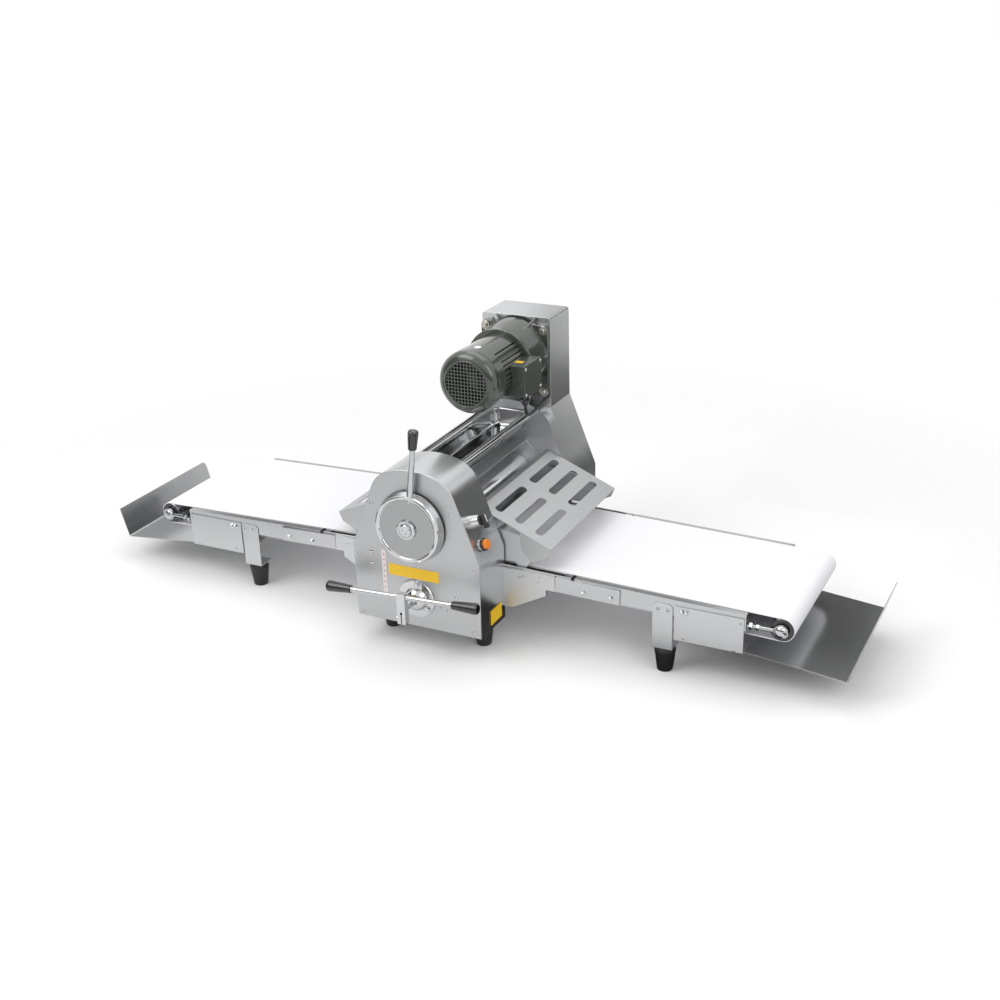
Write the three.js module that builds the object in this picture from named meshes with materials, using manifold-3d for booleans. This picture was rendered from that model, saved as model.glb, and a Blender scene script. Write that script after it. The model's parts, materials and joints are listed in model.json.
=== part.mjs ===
// Table-top electric dough sheeter, in millimetres, +Z up, feet on z = 0.
// X runs along the conveyor tables, Y along the roller axes with the operator at -Y.
import * as THREE from 'three';
import { mergeVertices, mergeGeometries } from 'three/addons/utils/BufferGeometryUtils.js';
import Module from 'manifold-3d';

const wasm = await Module();
wasm.setup();

const radians = THREE.MathUtils.degToRad;

// Clearances shared by every fit.
const seat = 0.3;
const running = 0.5;
const overrun = 3;
const mergeTolerance = 0.0001;

// Roller head.
const roller = {
  radius: 58, halfFace: 203, lowerHeight: 156, gapAtRest: 7,
  journalRadius: 12, endBevel: 3, sides: 24,
};
const upperRollerHeight = roller.lowerHeight + 2 * roller.radius + roller.gapAtRest;

// Bullet-shaped housings at the front and the rear of the rollers.
const housing = {
  halfWidth: 175, footHalfWidth: 173, bottom: 65, kinkHeight: 263, top: 481,
  shoulderRadius: 85, crownRadius: 200, slope: radians(21.2), wall: 2, arcSteps: 7,
};
const sidePlate = { innerFace: 208, thickness: 6 };
const plateOuter = sidePlate.innerFace + sidePlate.thickness;
const frontHousing = { face: 340, plate: 3 };
const rearHousing = { back: 373 };
const motorBox = { halfWidth: 99, front: 249, topClear: 19, corner: 9, spigotRadius: 42 };

const bearing = { radius: 22, length: 12 };

// Conveyor tables; the right one is described and the left one is its mirror image.
const belt = { halfWidth: 190.5, thickness: 2 };
const driveRoller = { x: 95, height: 189, radius: 24, journalRadius: 9 };
const endRoller = { ahead: 84, height: 166, radius: 27.5, journalRadius: 8 };
const bed = {
  start: 127, joint: 353, jointGap: 9, overEnd: 4, sheet: 2, railHeight: 42,
  sideClear: 0.3, slotStart: 145, slotEnd: 335, slotInner: 193, slotOuter: 204,
};
const wing = {
  root: 150, tip: 313, top: 204.5, foot: 164, step: 289, stepFoot: 148,
  gussetX: 197, gussetFoot: 99,
};
const splice = { end: 481, height: 38, thickness: 6, top: 203, clear: 1 };
const leg = { start: 563, end: 614, top: 186, bottom: 66, sheet: 3, topCorner: 8, flange: 50 };
const endFrame = {
  start: 618, end: 786, top: 186, bottom: 94, sheet: 3, lugSet: 12, lugInner: 192.5, lugLow: 150,
};
const endRollerX = endFrame.end + endRoller.ahead;
const tension = {
  eyeRadius: 17.5, eyeInner: 194, eyeOuter: 203, rodRadius: 5, rodTail: 41, nutRadius: 7, nutLength: 8,
  outerNutAhead: 10, outerNutRadius: 9.5,
};
const pan = {
  startBack: 46, reach: 158, bendHeight: 69, lipRun: 23, lipTop: 150,
  halfWidth: 197, sheet: 1.5, lipCorner: 14,
};

// Rubber feet.
const foot = { topRadius: 26, bottomRadius: 19, shoulder: 8, housingX: 131, sides: 14 };
const frontFootY = -246;
const rearFootY = 296;
const tableFoot = { x: 588.5, y: 186 };

// Thickness dial with its lever, gears and lift.
const dial = {
  x: -4, height: 338, rimRadius: 86, rearRadius: 91, hubRadius: 25, frontFace: 368, rearFace: 345,
  dish: 3, rimWidth: 7, hubRise: 8, shaftRadius: 9,
};
const lever = {
  lean: radians(6.5), radius: 7.5, gripStart: 208, gripLength: 49, gripEnd: 13, gripRoot: 10.5,
  y: 357, root: 62,
};
const liftShaft = { rise: 104, radius: 8, pinionPitch: 11.46, pinionLength: 16 };
const liftShaftHeight = upperRollerHeight + liftShaft.rise;
const liftGear = { teeth: 16, thickness: 10, y: 262, tipShare: 0.6, rootShare: 0.8 };
const liftBlock = {
  halfWidth: 27, halfHeight: 25, thickness: 24, noseRadius: 18, noseInner: 205.5, rackTop: 418,
  rackWidth: 12, standOff: 1,
};
const lift = { down: 6, up: 22 };
const guide = { width: 10, depth: 26, low: 218, high: 336 };

// Direction lever at the bottom of the front plate.
const direction = {
  x: -1, height: 144, flangeRadius: 50, flangeRise: 16, bossRadius: 21, bossRise: 24,
  shaftRadius: 9, shaftInner: 302, camRadius: 30, camThickness: 12, camY: 322,
};
const clamp = { halfWidth: 11.5, front: 420, back: 402, top: 190, bottom: 110, slit: 3 };
const bar = { radius: 6.5, height: 180, y: 411, left: 213, right: 206, tilt: radians(2.6) };
const barGrip = { length: 69, innerRadius: 10.5, outerRadius: 14.5 };

// Guards, hood, side guides and flour tray.
const guard = {
  flangeX: 98, bendX: 112.5, bendHeight: 351.6, edgeX: 301, edgeHeight: 271.5, sheet: 2,
  halfWidth: 206.5, pinRadius: 4, pinX: 106, pinDrop: 6.6, rows: 3, firstRow: 36, rowPitch: 58.5,
  slotWidth: 22, slotLength: 158, slotCentre: 99,
};
const guardPinHeight = guard.bendHeight - guard.pinDrop;

// Outline of a guard's cheeks, in shares of the guard's reach from bend to edge.
const guardCheek = {
  startShare: 0.56, arcStartShare: 0.43, arcWidthShare: 0.165, arcDropShare: 0.22,
  toeShare: 0.06, toeDropShare: 0.12, tipShare: 0.995, lugShare: 0.08,
};
const hood = {
  topHalf: 43.5, topRise: 52.5, kneeX: 82, kneeDrop: 38.5, cheekDrop: 72.5, sheet: 2, cheekInner: 204.5,
};
const sideGuide = {
  inner: 200, sheet: 2, tabX: 221, tabBottom: 206.5, tabRadius: 17, postRadius: 4,
  topClear: 43, footShare: 0.8,
};
const tray = {
  halfWidth: 51, halfLength: 205, bottom: 408.5, top: 456.5, draft: 5, corner: 16, wall: 1.5, rim: 3.5,
};
const ledge = { trayLedgeHalf: 38, trayLedgeReach: 14, trayLedgeSheet: 2 };
const tieRod = {
  upperX: 67, upperHeight: 454, upperRadius: 7, lowerX: 120, lowerHeight: 100, lowerRadius: 10,
};

// Gear motor.
const motor = {
  trayClear: 49.5, flangeDrop: 15, flangeHalf: 97, flangeThickness: 12, flangeCorner: 14,
  bellFront: 152, bellRadius: 89, bellBackRadius: 97, ringRadius: 92, ringThickness: 11,
  bodyFront: 22, coreRadius: 72, ribRadius: 80, ribs: 20,
  cowlFront: -46, cowlBack: 20, cowlRadius: 82, cowlFace: 57, cowlWall: 2, cowlShoulder: 15,
  shield: 6, shaftRadius: 9,
};
const motorHeight = tray.top + motor.bellBackRadius + motor.trayClear;
const flangeHeight = motorHeight - motor.flangeDrop;
const motorBoxTop = flangeHeight + motor.flangeHalf + motorBox.topClear;
const grille = { pitch: 17, halfHole: 6.5, rows: 3 };
const fan = { radius: 62, blades: 6, back: 12, depth: 18, disc: 3, blade: 2, shaftTail: 10 };
const terminalBox = { inner: 58, outer: 118, front: 63, back: 149, below: 54, above: 28, lid: 4, lip: 2 };
const boxLow = motorHeight - terminalBox.below;
const gland = { x: 106, y: 76, radius: 9, length: 22, nutRadius: 12, taper: 0.75 };
const lead = { radius: 4, endX: 88, belowFlange: 6, seatIn: 0.5, clear: 0.2 };

// Drive train in the rear housing.
const drive = {
  motorSprocket: 35, rollerSprocket: 45, sprocketY: 304, sprocketWidth: 7, chain: 7,
  beltSprocket: 18, beltDriver: 40, beltSprocketY: 276, outputRadius: 14, outputEnd: 318, tooth: 4,
};

// Controls on the sloped flank of the front housing.
const control = {
  switchY: -305, switchRise: 95, bossRadius: 16, bossTop: 13.5, bossRise: 28, knobRise: 13, knobRadius: 11,
  handleLength: 24, handleWidth: 6,
  buttonY: -298, buttonRise: 36, bezelRadius: 14, bezelRise: 9, capRadius: 12.5, capRise: 11, capRound: 2,
  travel: 4,
};
const switchHeight = housing.kinkHeight + control.switchRise;
const buttonHeight = housing.kinkHeight + control.buttonRise;

function finish(color, roughness, metalness) {
  return new THREE.MeshStandardMaterial({ color, roughness, metalness });
}

const metal = (colour, roughness) => finish(colour, roughness, 1);
const plain = (colour, roughness) => finish(colour, roughness, 0);
const brushed = metal(0xb4b5b8, 0.38);
const polished = metal(0xc8c9cc, 0.14);
const chrome = metal(0xd6d7da, 0.07);
const darkSteel = metal(0x5c5e60, 0.45);
const castGreen = plain(0x474d48, 0.42);
const rubber = plain(0x141414, 0.75);
const blackPlastic = plain(0x18181a, 0.35);
const orangePlastic = plain(0xe8860c, 0.3);
const beltCloth = plain(0xf2f2f5, 0.7);

// The whole machine is centred front to back between the lever grips and the rear casing.
const frontReach = bar.y + barGrip.outerRadius;
const machine = new THREE.Group();
machine.position.y = (frontReach - rearHousing.back) / 2;

function addPart(name, geometry, material) {
  const mesh = new THREE.Mesh(geometry, material);
  mesh.name = name;
  machine.add(mesh);
  return mesh;
}

// Solid helpers.
function solidOf(geometry) {
  const bare = geometry.clone();
  for (const extra of ['normal', 'uv']) {
    if (bare.getAttribute(extra)) bare.deleteAttribute(extra);
  }
  const merged = mergeVertices(bare, mergeTolerance);
  return new wasm.Manifold(new wasm.Mesh({
    numProp: 3,
    vertProperties: new Float32Array(merged.attributes.position.array),
    triVerts: new Uint32Array(merged.index.array),
  }));
}

function geometryOf(solid) {
  const mesh = solid.getMesh();
  const geometry = new THREE.BufferGeometry();
  geometry.setAttribute('position', new THREE.BufferAttribute(new Float32Array(mesh.vertProperties), 3));
  geometry.setIndex(new THREE.BufferAttribute(new Uint32Array(mesh.triVerts), 1));
  geometry.computeVertexNormals();
  return geometry;
}

function join(...parts) {
  return geometryOf(parts.map(solidOf).reduce((whole, next) => whole.add(next)));
}

function cut(body, ...tools) {
  return geometryOf(tools.map(solidOf).reduce((rest, tool) => rest.subtract(tool), solidOf(body)));
}

function common(first, second) {
  return geometryOf(solidOf(first).intersect(solidOf(second)));
}

// Separate solids that share one node.
function group(...parts) {
  const bare = parts.map((part) => {
    const copy = part.index ? part.toNonIndexed() : part.clone();
    for (const extra of ['normal', 'uv']) {
      if (copy.getAttribute(extra)) copy.deleteAttribute(extra);
    }
    return copy;
  });
  const merged = mergeVertices(mergeGeometries(bare), mergeTolerance);
  merged.computeVertexNormals();
  return merged;
}

function mirrored(geometry, scale) {
  const copy = geometry.index ? geometry.toNonIndexed() : geometry.clone();
  copy.applyMatrix4(scale);
  const position = copy.attributes.position.array;
  for (let i = 0; i < position.length; i += 9) {
    for (let k = 0; k < 3; k += 1) {
      const held = position[i + 3 + k];
      position[i + 3 + k] = position[i + 6 + k];
      position[i + 6 + k] = held;
    }
  }
  return group(copy);
}

const mirrorX = (geometry) => mirrored(geometry, new THREE.Matrix4().makeScale(-1, 1, 1));
const mirrorY = (geometry) => mirrored(geometry, new THREE.Matrix4().makeScale(1, -1, 1));

function box(x0, x1, y0, y1, z0, z1) {
  const geometry = new THREE.BoxGeometry(x1 - x0, y1 - y0, z1 - z0);
  return geometry.translate((x0 + x1) / 2, (y0 + y1) / 2, (z0 + z1) / 2);
}

function rodY(x, z, radius, y0, y1, sides = 24) {
  return new THREE.CylinderGeometry(radius, radius, y1 - y0, sides).translate(x, (y0 + y1) / 2, z);
}

function rodX(y, z, radius, x0, x1, sides = 16) {
  const geometry = new THREE.CylinderGeometry(radius, radius, x1 - x0, sides);
  return geometry.rotateZ(Math.PI / 2).translate((x0 + x1) / 2, y, z);
}

// A profile of [radius, y] pairs turned about an axis parallel to Y.
function turned(profile, x, z, sides = 32) {
  const points = profile.map(([r, y]) => new THREE.Vector2(r, y));
  return new THREE.LatheGeometry(points, sides).translate(x, 0, z);
}

// A shape drawn in X and Z, with its thickness along Y.
function alongY(shape, y0, y1, steps = 6) {
  const settings = { depth: y1 - y0, bevelEnabled: false, curveSegments: steps };
  const geometry = new THREE.ExtrudeGeometry(shape, settings);
  return geometry.rotateX(Math.PI / 2).translate(0, y1, 0);
}

// A shape drawn in Y and Z, with its length along X.
function alongX(shape, x0, x1) {
  const geometry = new THREE.ExtrudeGeometry(shape, { depth: x1 - x0, bevelEnabled: false });
  const basis = new THREE.Matrix4().makeBasis(
    new THREE.Vector3(0, 1, 0), new THREE.Vector3(0, 0, 1), new THREE.Vector3(1, 0, 0),
  );
  return geometry.applyMatrix4(basis).translate(x0, 0, 0);
}

function polygon(points) {
  return new THREE.Shape(points.map(([x, z]) => new THREE.Vector2(x, z)));
}

// Walls between closed rings with the same number of points, capped at both ends.
function loft(rings) {
  const count = rings[0].length;
  const position = [];
  const index = [];
  rings.forEach((ring) => ring.forEach((p) => position.push(p.x, p.y, p.z)));
  for (let r = 0; r + 1 < rings.length; r += 1) {
    for (let i = 0; i < count; i += 1) {
      const a = r * count + i;
      const b = r * count + ((i + 1) % count);
      index.push(a, b, b + count, a, b + count, a + count);
    }
  }
  const last = (rings.length - 1) * count;
  for (let i = 1; i + 1 < count; i += 1) {
    index.push(0, i + 1, i);
    index.push(last, last + i, last + i + 1);
  }
  const geometry = new THREE.BufferGeometry();
  geometry.setAttribute('position', new THREE.Float32BufferAttribute(position, 3));
  geometry.setIndex(volumeOf(position, index) < 0 ? index.reverse() : index);
  return geometry;
}

function volumeOf(position, index) {
  const corner = (i) => new THREE.Vector3().fromArray(position, 3 * index[i]);
  let sum = 0;
  for (let i = 0; i < index.length; i += 3) {
    sum += corner(i).dot(corner(i + 1).cross(corner(i + 2)));
  }
  return sum / 6;
}

// Round outline whose flats keep the given radius clear.
function roundHole(x, z, radius, sides = 12) {
  const reach = radius / Math.cos(Math.PI / sides);
  const points = [];
  for (let i = 0; i < sides; i += 1) {
    const angle = 2 * Math.PI * i / sides;
    points.push(new THREE.Vector2(x + reach * Math.cos(angle), z + reach * Math.sin(angle)));
  }
  return new THREE.Path(points);
}

// Bullet outline, drawn inwards by a wall thickness where a plate or a hollow needs it.
const slopeNormal = new THREE.Vector2(Math.cos(housing.slope), Math.sin(housing.slope));
const kink = new THREE.Vector2(housing.halfWidth, housing.kinkHeight);
const heel = new THREE.Vector2(housing.footHalfWidth, housing.bottom);
const slopeReach = slopeNormal.dot(kink);

function flank(inset) {
  const along = kink.clone().sub(heel).normalize();
  const sideNormal = new THREE.Vector2(along.y, -along.x);
  const reach = slopeReach - inset;
  const sideReach = sideNormal.dot(heel) - inset;
  const scale = slopeNormal.x * sideNormal.y - slopeNormal.y * sideNormal.x;
  const corner = new THREE.Vector2(
    (reach * sideNormal.y - sideReach * slopeNormal.y) / scale,
    (sideReach * slopeNormal.x - reach * sideNormal.x) / scale,
  );
  const low = housing.bottom + inset;
  const heelX = (sideReach - sideNormal.y * low) / sideNormal.x;
  return { reach, corner, low, heelX };
}

function bulletShape(inset) {
  const { reach, corner, low, heelX } = flank(inset);
  const shoulderRadius = housing.shoulderRadius - inset;
  const crownRadius = housing.crownRadius - inset;
  const crown = new THREE.Vector2(0, housing.top - housing.crownRadius);
  const arm = crownRadius - shoulderRadius;
  const spread = Math.acos((reach - shoulderRadius - slopeNormal.dot(crown)) / arm);
  const turn = housing.slope + spread;
  const shoulder = new THREE.Vector2(arm * Math.cos(turn), crown.y + arm * Math.sin(turn));
  const shape = new THREE.Shape();
  shape.moveTo(-heelX, low);
  shape.lineTo(heelX, low);
  shape.lineTo(corner.x, corner.y);
  shape.absarc(shoulder.x, shoulder.y, shoulderRadius, housing.slope, turn);
  shape.absarc(0, crown.y, crownRadius, turn, Math.PI - turn);
  shape.absarc(-shoulder.x, shoulder.y, shoulderRadius, Math.PI - turn, Math.PI - housing.slope);
  shape.lineTo(-corner.x, corner.y);
  return shape;
}

// The rear casing keeps its flanks straight up to the motor box.
const boxFoot = (slopeReach - slopeNormal.x * motorBox.halfWidth) / slopeNormal.y;

function rearShape(inset) {
  const { reach, corner, low, heelX } = flank(inset);
  const high = boxFoot - inset;
  const shoulderX = (reach - slopeNormal.y * high) / slopeNormal.x;
  return polygon([
    [-heelX, low], [heelX, low], [corner.x, corner.y], [shoulderX, high],
    [-shoulderX, high], [-corner.x, corner.y],
  ]);
}

function slopeX(z) {
  return (slopeReach - slopeNormal.y * z) / slopeNormal.x;
}

// Loop of a belt or chain round a list of wheels, taken anticlockwise in X and Z.
function loopShape(wheels, offset) {
  const shape = new THREE.Shape();
  const turns = wheels.map((wheel, i) => {
    const next = wheels[(i + 1) % wheels.length];
    const run = new THREE.Vector2(next.x - wheel.x, next.z - wheel.z);
    return run.angle() - Math.acos((wheel.r - next.r) / run.length());
  });
  wheels.forEach((wheel, i) => {
    const start = turns[(i + wheels.length - 1) % wheels.length];
    let end = turns[i];
    while (end < start) end += 2 * Math.PI;
    shape.absarc(wheel.x, wheel.z, wheel.r + offset, start, end);
  });
  return shape;
}

function band(wheels, inner, outer, y0, y1, steps) {
  const shape = loopShape(wheels, outer);
  shape.holes.push(new THREE.Path(loopShape(wheels, inner).getPoints(steps)));
  return alongY(shape, y0, y1, steps);
}

// Housings.
function frontPlate() {
  const shape = bulletShape(0);
  for (const [x, z, r] of [
    [dial.x, dial.height, dial.shaftRadius], [direction.x, direction.height, direction.shaftRadius],
  ]) {
    shape.holes.push(roundHole(x, z, r + running));
  }
  return alongY(shape, -frontHousing.face, -frontHousing.face + frontHousing.plate, housing.arcSteps);
}

function coverShell(shape, hollow, y0, y1) {
  const inside = alongY(hollow, y0 - overrun, y1 + overrun, housing.arcSteps);
  return cut(alongY(shape, y0, y1, housing.arcSteps), inside);
}

// Openings in a cover's flanks where the side plate's wings pass.
function wingNotches() {
  const low = wing.gussetFoot - seat;
  const high = wing.top + seat;
  const x0 = housing.footHalfWidth - housing.wall - overrun;
  const x1 = housing.halfWidth + overrun;
  const notch = box(x0, x1, sidePlate.innerFace - overrun, plateOuter + seat, low, high);
  return [notch, mirrorX(notch)];
}

function frontCover() {
  const y0 = -frontHousing.face + frontHousing.plate + seat;
  const shell = coverShell(bulletShape(0), bulletShape(housing.wall), y0, -sidePlate.innerFace);
  return join(cut(shell, ...wingNotches().map(mirrorY)), switchBoss(), buttonBezel());
}

function rearCover() {
  const wall = housing.wall;
  const y0 = sidePlate.innerFace;
  const skin = join(
    alongY(bulletShape(0), y0, motorBox.front, housing.arcSteps),
    alongY(rearShape(0), motorBox.front - wall, rearHousing.back, housing.arcSteps),
  );
  const frontHollow = alongY(bulletShape(wall), y0 - overrun, motorBox.front - wall, housing.arcSteps);
  const neckY = motorBox.front + wall;
  const neck = common(
    alongY(bulletShape(wall), y0, neckY + seat, housing.arcSteps),
    alongY(rearShape(wall), y0, neckY + seat, housing.arcSteps),
  );
  const rearHollow = alongY(rearShape(wall), neckY, rearHousing.back - wall);
  const well = motorBox.halfWidth - 3 * wall;
  const wellBack = rearHousing.back - 3 * wall;
  const chainWell = box(-well, well, neckY + wall, wellBack, boxFoot - 2 * overrun, boxFoot + overrun);
  return cut(skin, frontHollow, neck, rearHollow, chainWell, ...wingNotches());
}

function motorCasing() {
  const half = motorBox.halfWidth;
  const low = boxFoot + seat;
  const outline = (inset, foot) => {
    const x = half - inset;
    const top = motorBoxTop - inset;
    const r = motorBox.corner - inset;
    const shape = new THREE.Shape();
    shape.moveTo(-x, foot);
    shape.lineTo(x, foot);
    shape.absarc(x - r, top - r, r, 0, Math.PI / 2);
    shape.absarc(r - x, top - r, r, Math.PI / 2, Math.PI);
    return shape;
  };
  const front = motorBox.front + seat;
  const skin = alongY(outline(0, low), front, rearHousing.back, 3);
  const wall = housing.wall;
  const hollow = alongY(outline(wall, low - overrun), front + wall, rearHousing.back - wall, 3);
  const spigot = rodY(0, flangeHeight, motorBox.spigotRadius, front - overrun, front + wall + overrun);
  return cut(skin, hollow, spigot);
}

function wingShape() {
  return polygon([
    [wing.root, wing.top], [wing.root, wing.gussetFoot], [wing.gussetX, wing.gussetFoot],
    [wing.step, wing.stepFoot], [wing.step, wing.foot], [wing.tip, wing.foot], [wing.tip, wing.top],
  ].reverse());
}

// Slot that a lift block's nose rides in.
function liftSlot() {
  const sides = 16;
  const r = (liftBlock.noseRadius + running) / Math.cos(Math.PI / (2 * sides));
  const points = [];
  const ends = [[upperRollerHeight + lift.up, 0], [upperRollerHeight - lift.down, Math.PI]];
  for (const [centre, start] of ends) {
    for (let i = 0; i <= sides; i += 1) {
      const angle = start + Math.PI * i / sides;
      points.push(new THREE.Vector2(r * Math.cos(angle), centre + r * Math.sin(angle)));
    }
  }
  return new THREE.Path(points);
}

// Structural plate, drawn for the front side; the rear one is its mirror image.
function frontSidePlate() {
  const shape = bulletShape(housing.wall + seat);
  shape.holes.push(liftSlot());
  const bores = [
    [0, roller.lowerHeight, roller.journalRadius], [0, liftShaftHeight, liftShaft.radius],
    [driveRoller.x, driveRoller.height, driveRoller.journalRadius],
    [-driveRoller.x, driveRoller.height, driveRoller.journalRadius],
    [guard.pinX, guardPinHeight, guard.pinRadius], [-guard.pinX, guardPinHeight, guard.pinRadius],
  ];
  for (const [x, z, r] of bores) {
    shape.holes.push(roundHole(x, z, r + running));
  }
  const plate = alongY(shape, -plateOuter, -sidePlate.innerFace, housing.arcSteps);
  const right = alongY(wingShape(), -plateOuter, -sidePlate.innerFace);
  const railFront = -plateOuter - guide.depth;
  const rail = (x) => box(x, x + guide.width, railFront, -plateOuter + seat, guide.low, guide.high);
  const clear = liftBlock.halfWidth + seat;
  const guideSheet = sideGuideSolid();
  const { trayLedgeHalf, trayLedgeReach, trayLedgeSheet } = ledge;
  const ledgeTop = tray.bottom - seat;
  const ledgeFace = -sidePlate.innerFace;
  const trayLedge = box(
    -trayLedgeHalf, trayLedgeHalf, ledgeFace - seat, ledgeFace + trayLedgeReach,
    ledgeTop - trayLedgeSheet, ledgeTop,
  );
  return join(
    plate, right, mirrorX(right), rail(clear), rail(-clear - guide.width), trayLedge,
    guideSheet, mirrorX(guideSheet), ...bearingBosses(),
  );
}

// Rings that carry the lower roller and both belt drive rollers.
function bearingBosses() {
  const seats = [
    [0, roller.lowerHeight, roller.journalRadius],
    [driveRoller.x, driveRoller.height, driveRoller.journalRadius],
    [-driveRoller.x, driveRoller.height, driveRoller.journalRadius],
  ];
  return seats.map(([x, z, bore]) => {
    const shape = new THREE.Shape(roundHole(x, z, bearing.radius).getPoints());
    shape.holes.push(roundHole(x, z, bore + running));
    return alongY(shape, -plateOuter - bearing.length, -plateOuter + seat);
  });
}

function lowerRods() {
  const reach = sidePlate.innerFace - seat;
  return [-tieRod.lowerX, tieRod.lowerX].map((x) => (
    rodY(x, tieRod.lowerHeight, tieRod.lowerRadius, -sidePlate.innerFace - seat, reach, 10)
  ));
}

function upperRod() {
  const reach = sidePlate.innerFace - seat;
  return rodY(tieRod.upperX, tieRod.upperHeight, tieRod.upperRadius, -reach, reach, 20);
}

// Tapered rubber foot with a rounded shoulder, standing on the floor.
function rubberFoot(x, y, height) {
  const top = height - seat;
  const profile = [
    [0, 0], [foot.bottomRadius, 0], [foot.topRadius, top - foot.shoulder],
    [foot.topRadius - foot.shoulder / 2, top], [0, top],
  ].map(([r, z]) => new THREE.Vector2(r, z));
  return new THREE.LatheGeometry(profile, foot.sides).rotateX(Math.PI / 2).translate(x, y, 0);
}

// Rollers.
function rollerSolid(z, frontEnd, rearEnd) {
  const half = roller.halfFace;
  const bevel = roller.radius - roller.endBevel;
  return turned([
    [0, -frontEnd], [roller.journalRadius, -frontEnd], [roller.journalRadius, -half], [bevel, -half],
    [roller.radius, -half + roller.endBevel], [roller.radius, half - roller.endBevel], [bevel, half],
    [roller.journalRadius, half], [roller.journalRadius, rearEnd], [0, rearEnd],
  ], 0, z, roller.sides);
}

// Bearing block with its nose through the side plate and its rack upwards.
function liftBlockSolid() {
  const y0 = plateOuter + liftBlock.standOff;
  const y1 = y0 + liftBlock.thickness;
  const block = box(
    -liftBlock.halfWidth, liftBlock.halfWidth, y0, y1,
    upperRollerHeight - liftBlock.halfHeight, upperRollerHeight + liftBlock.halfHeight,
  );
  const nose = rodY(0, upperRollerHeight, liftBlock.noseRadius, liftBlock.noseInner, y0 + seat, 32);
  const rackX = liftShaft.pinionPitch + seat;
  const rack = box(
    rackX, rackX + liftBlock.rackWidth, y0, y0 + liftShaft.pinionLength,
    upperRollerHeight, liftBlock.rackTop,
  );
  const boreRadius = roller.journalRadius + running / 4;
  const bore = rodY(0, upperRollerHeight, boreRadius, liftBlock.noseInner - overrun, y1 + overrun);
  return cut(join(block, nose, rack), bore);
}

function liftShaftSolid() {
  const y0 = plateOuter + liftBlock.standOff;
  const y1 = y0 + liftShaft.pinionLength;
  const z = liftShaftHeight;
  const gearEnd = liftGear.y + liftGear.thickness;
  const shaft = rodY(0, z, liftShaft.radius, -gearEnd - seat, y1 + overrun, 16);
  const pinion = rodY(0, z, liftShaft.pinionPitch, y0, y1, 16);
  return join(shaft, pinion, mirrorY(pinion));
}

function gearShape(x, z, pitchRadius, teeth, phase) {
  const module = 2 * pitchRadius / teeth;
  const tip = pitchRadius + liftGear.tipShare * module;
  const root = pitchRadius - liftGear.rootShare * module;
  const pitch = 2 * Math.PI / teeth;
  const points = [];
  for (let i = 0; i < teeth; i += 1) {
    for (const [radius, share] of [[root, -0.5], [tip, 0]]) {
      const angle = phase + (i + share) * pitch;
      points.push([x + radius * Math.cos(angle), z + radius * Math.sin(angle)]);
    }
  }
  return polygon(points);
}

// The two lift gears mesh on the line between their shafts.
const gearRun = new THREE.Vector2(-dial.x, liftShaftHeight - dial.height);
const gearPitch = gearRun.length() / 2;

function dialShaft() {
  const shaftEnd = -plateOuter - liftBlock.thickness;
  const shaft = rodY(dial.x, dial.height, dial.shaftRadius, -dial.rearFace - seat, shaftEnd);
  const y0 = -liftGear.y - liftGear.thickness;
  const shape = gearShape(dial.x, dial.height, gearPitch, liftGear.teeth, gearRun.angle());
  const gear = alongY(shape, y0, -liftGear.y);
  return join(shaft, gear);
}

function liftGearOnShaft() {
  const half = Math.PI / liftGear.teeth;
  const y0 = -liftGear.y - liftGear.thickness;
  const phase = gearRun.angle() + Math.PI + half;
  return alongY(gearShape(0, liftShaftHeight, gearPitch, liftGear.teeth, phase), y0, -liftGear.y);
}

// Dial, lever and grip.
function dialDisc() {
  const { rimRadius, rearRadius, hubRadius, frontFace, rearFace, dish, rimWidth, hubRise } = dial;
  const floor = -frontFace + dish;
  return turned([
    [0, -frontFace - hubRise], [hubRadius - dish, -frontFace - hubRise], [hubRadius, floor],
    [rimRadius - 2 * rimWidth, floor], [rimRadius - rimWidth, -frontFace], [rimRadius - dish, -frontFace],
    [rimRadius, -frontFace + dish], [rearRadius, -rearFace - dish], [rearRadius, -rearFace], [0, -rearFace],
  ], dial.x, dial.height, 28);
}

function onLeverLine(geometry) {
  return geometry.rotateX(Math.PI / 2).rotateY(lever.lean).translate(dial.x, -lever.y, dial.height);
}

function leverRod() {
  const start = lever.root;
  const length = lever.gripStart + lever.gripLength / 2 - start;
  const geometry = new THREE.CylinderGeometry(lever.radius, lever.radius, length, 16);
  return onLeverLine(geometry.translate(0, start + length / 2, 0));
}

// Hollow grip: the profile runs up the bore and down the outside.
function gripProfile(bore, depth, length, root, end, round) {
  return [
    [0, depth], [bore, depth], [bore, 0], [root, 0], [end, length - 2 * round], [end, length - round],
    [end - round, length], [0, length],
  ].map(([r, along]) => new THREE.Vector2(r, along));
}

function leverGrip() {
  const { gripLength, gripRoot, gripEnd } = lever;
  const depth = gripLength / 2 + seat;
  const profile = gripProfile(lever.radius + seat, depth, gripLength, gripRoot, gripEnd, gripEnd / 4);
  const geometry = new THREE.LatheGeometry(profile, 16);
  return onLeverLine(geometry.translate(0, lever.gripStart, 0));
}

// Direction lever. The flange's dome falls from the boss to the rim in these shares.
const domeShares = [[0.5, 0.8], [0.85, 0.45], [1, 0.2]];

function directionFlange() {
  const base = -frontHousing.face - seat;
  const bore = direction.shaftRadius + running;
  const { flangeRadius, flangeRise, bossRadius, bossRise } = direction;
  const dome = domeShares.map(([across, rise]) => [
    bossRadius + across * (flangeRadius - bossRadius), base - rise * flangeRise,
  ]);
  return turned([
    [bore, base], [bore, base - bossRise], [bossRadius - seat, base - bossRise],
    [bossRadius, base - flangeRise], ...dome, [flangeRadius, base], [bore, base],
  ], direction.x, direction.height, 24);
}

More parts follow.
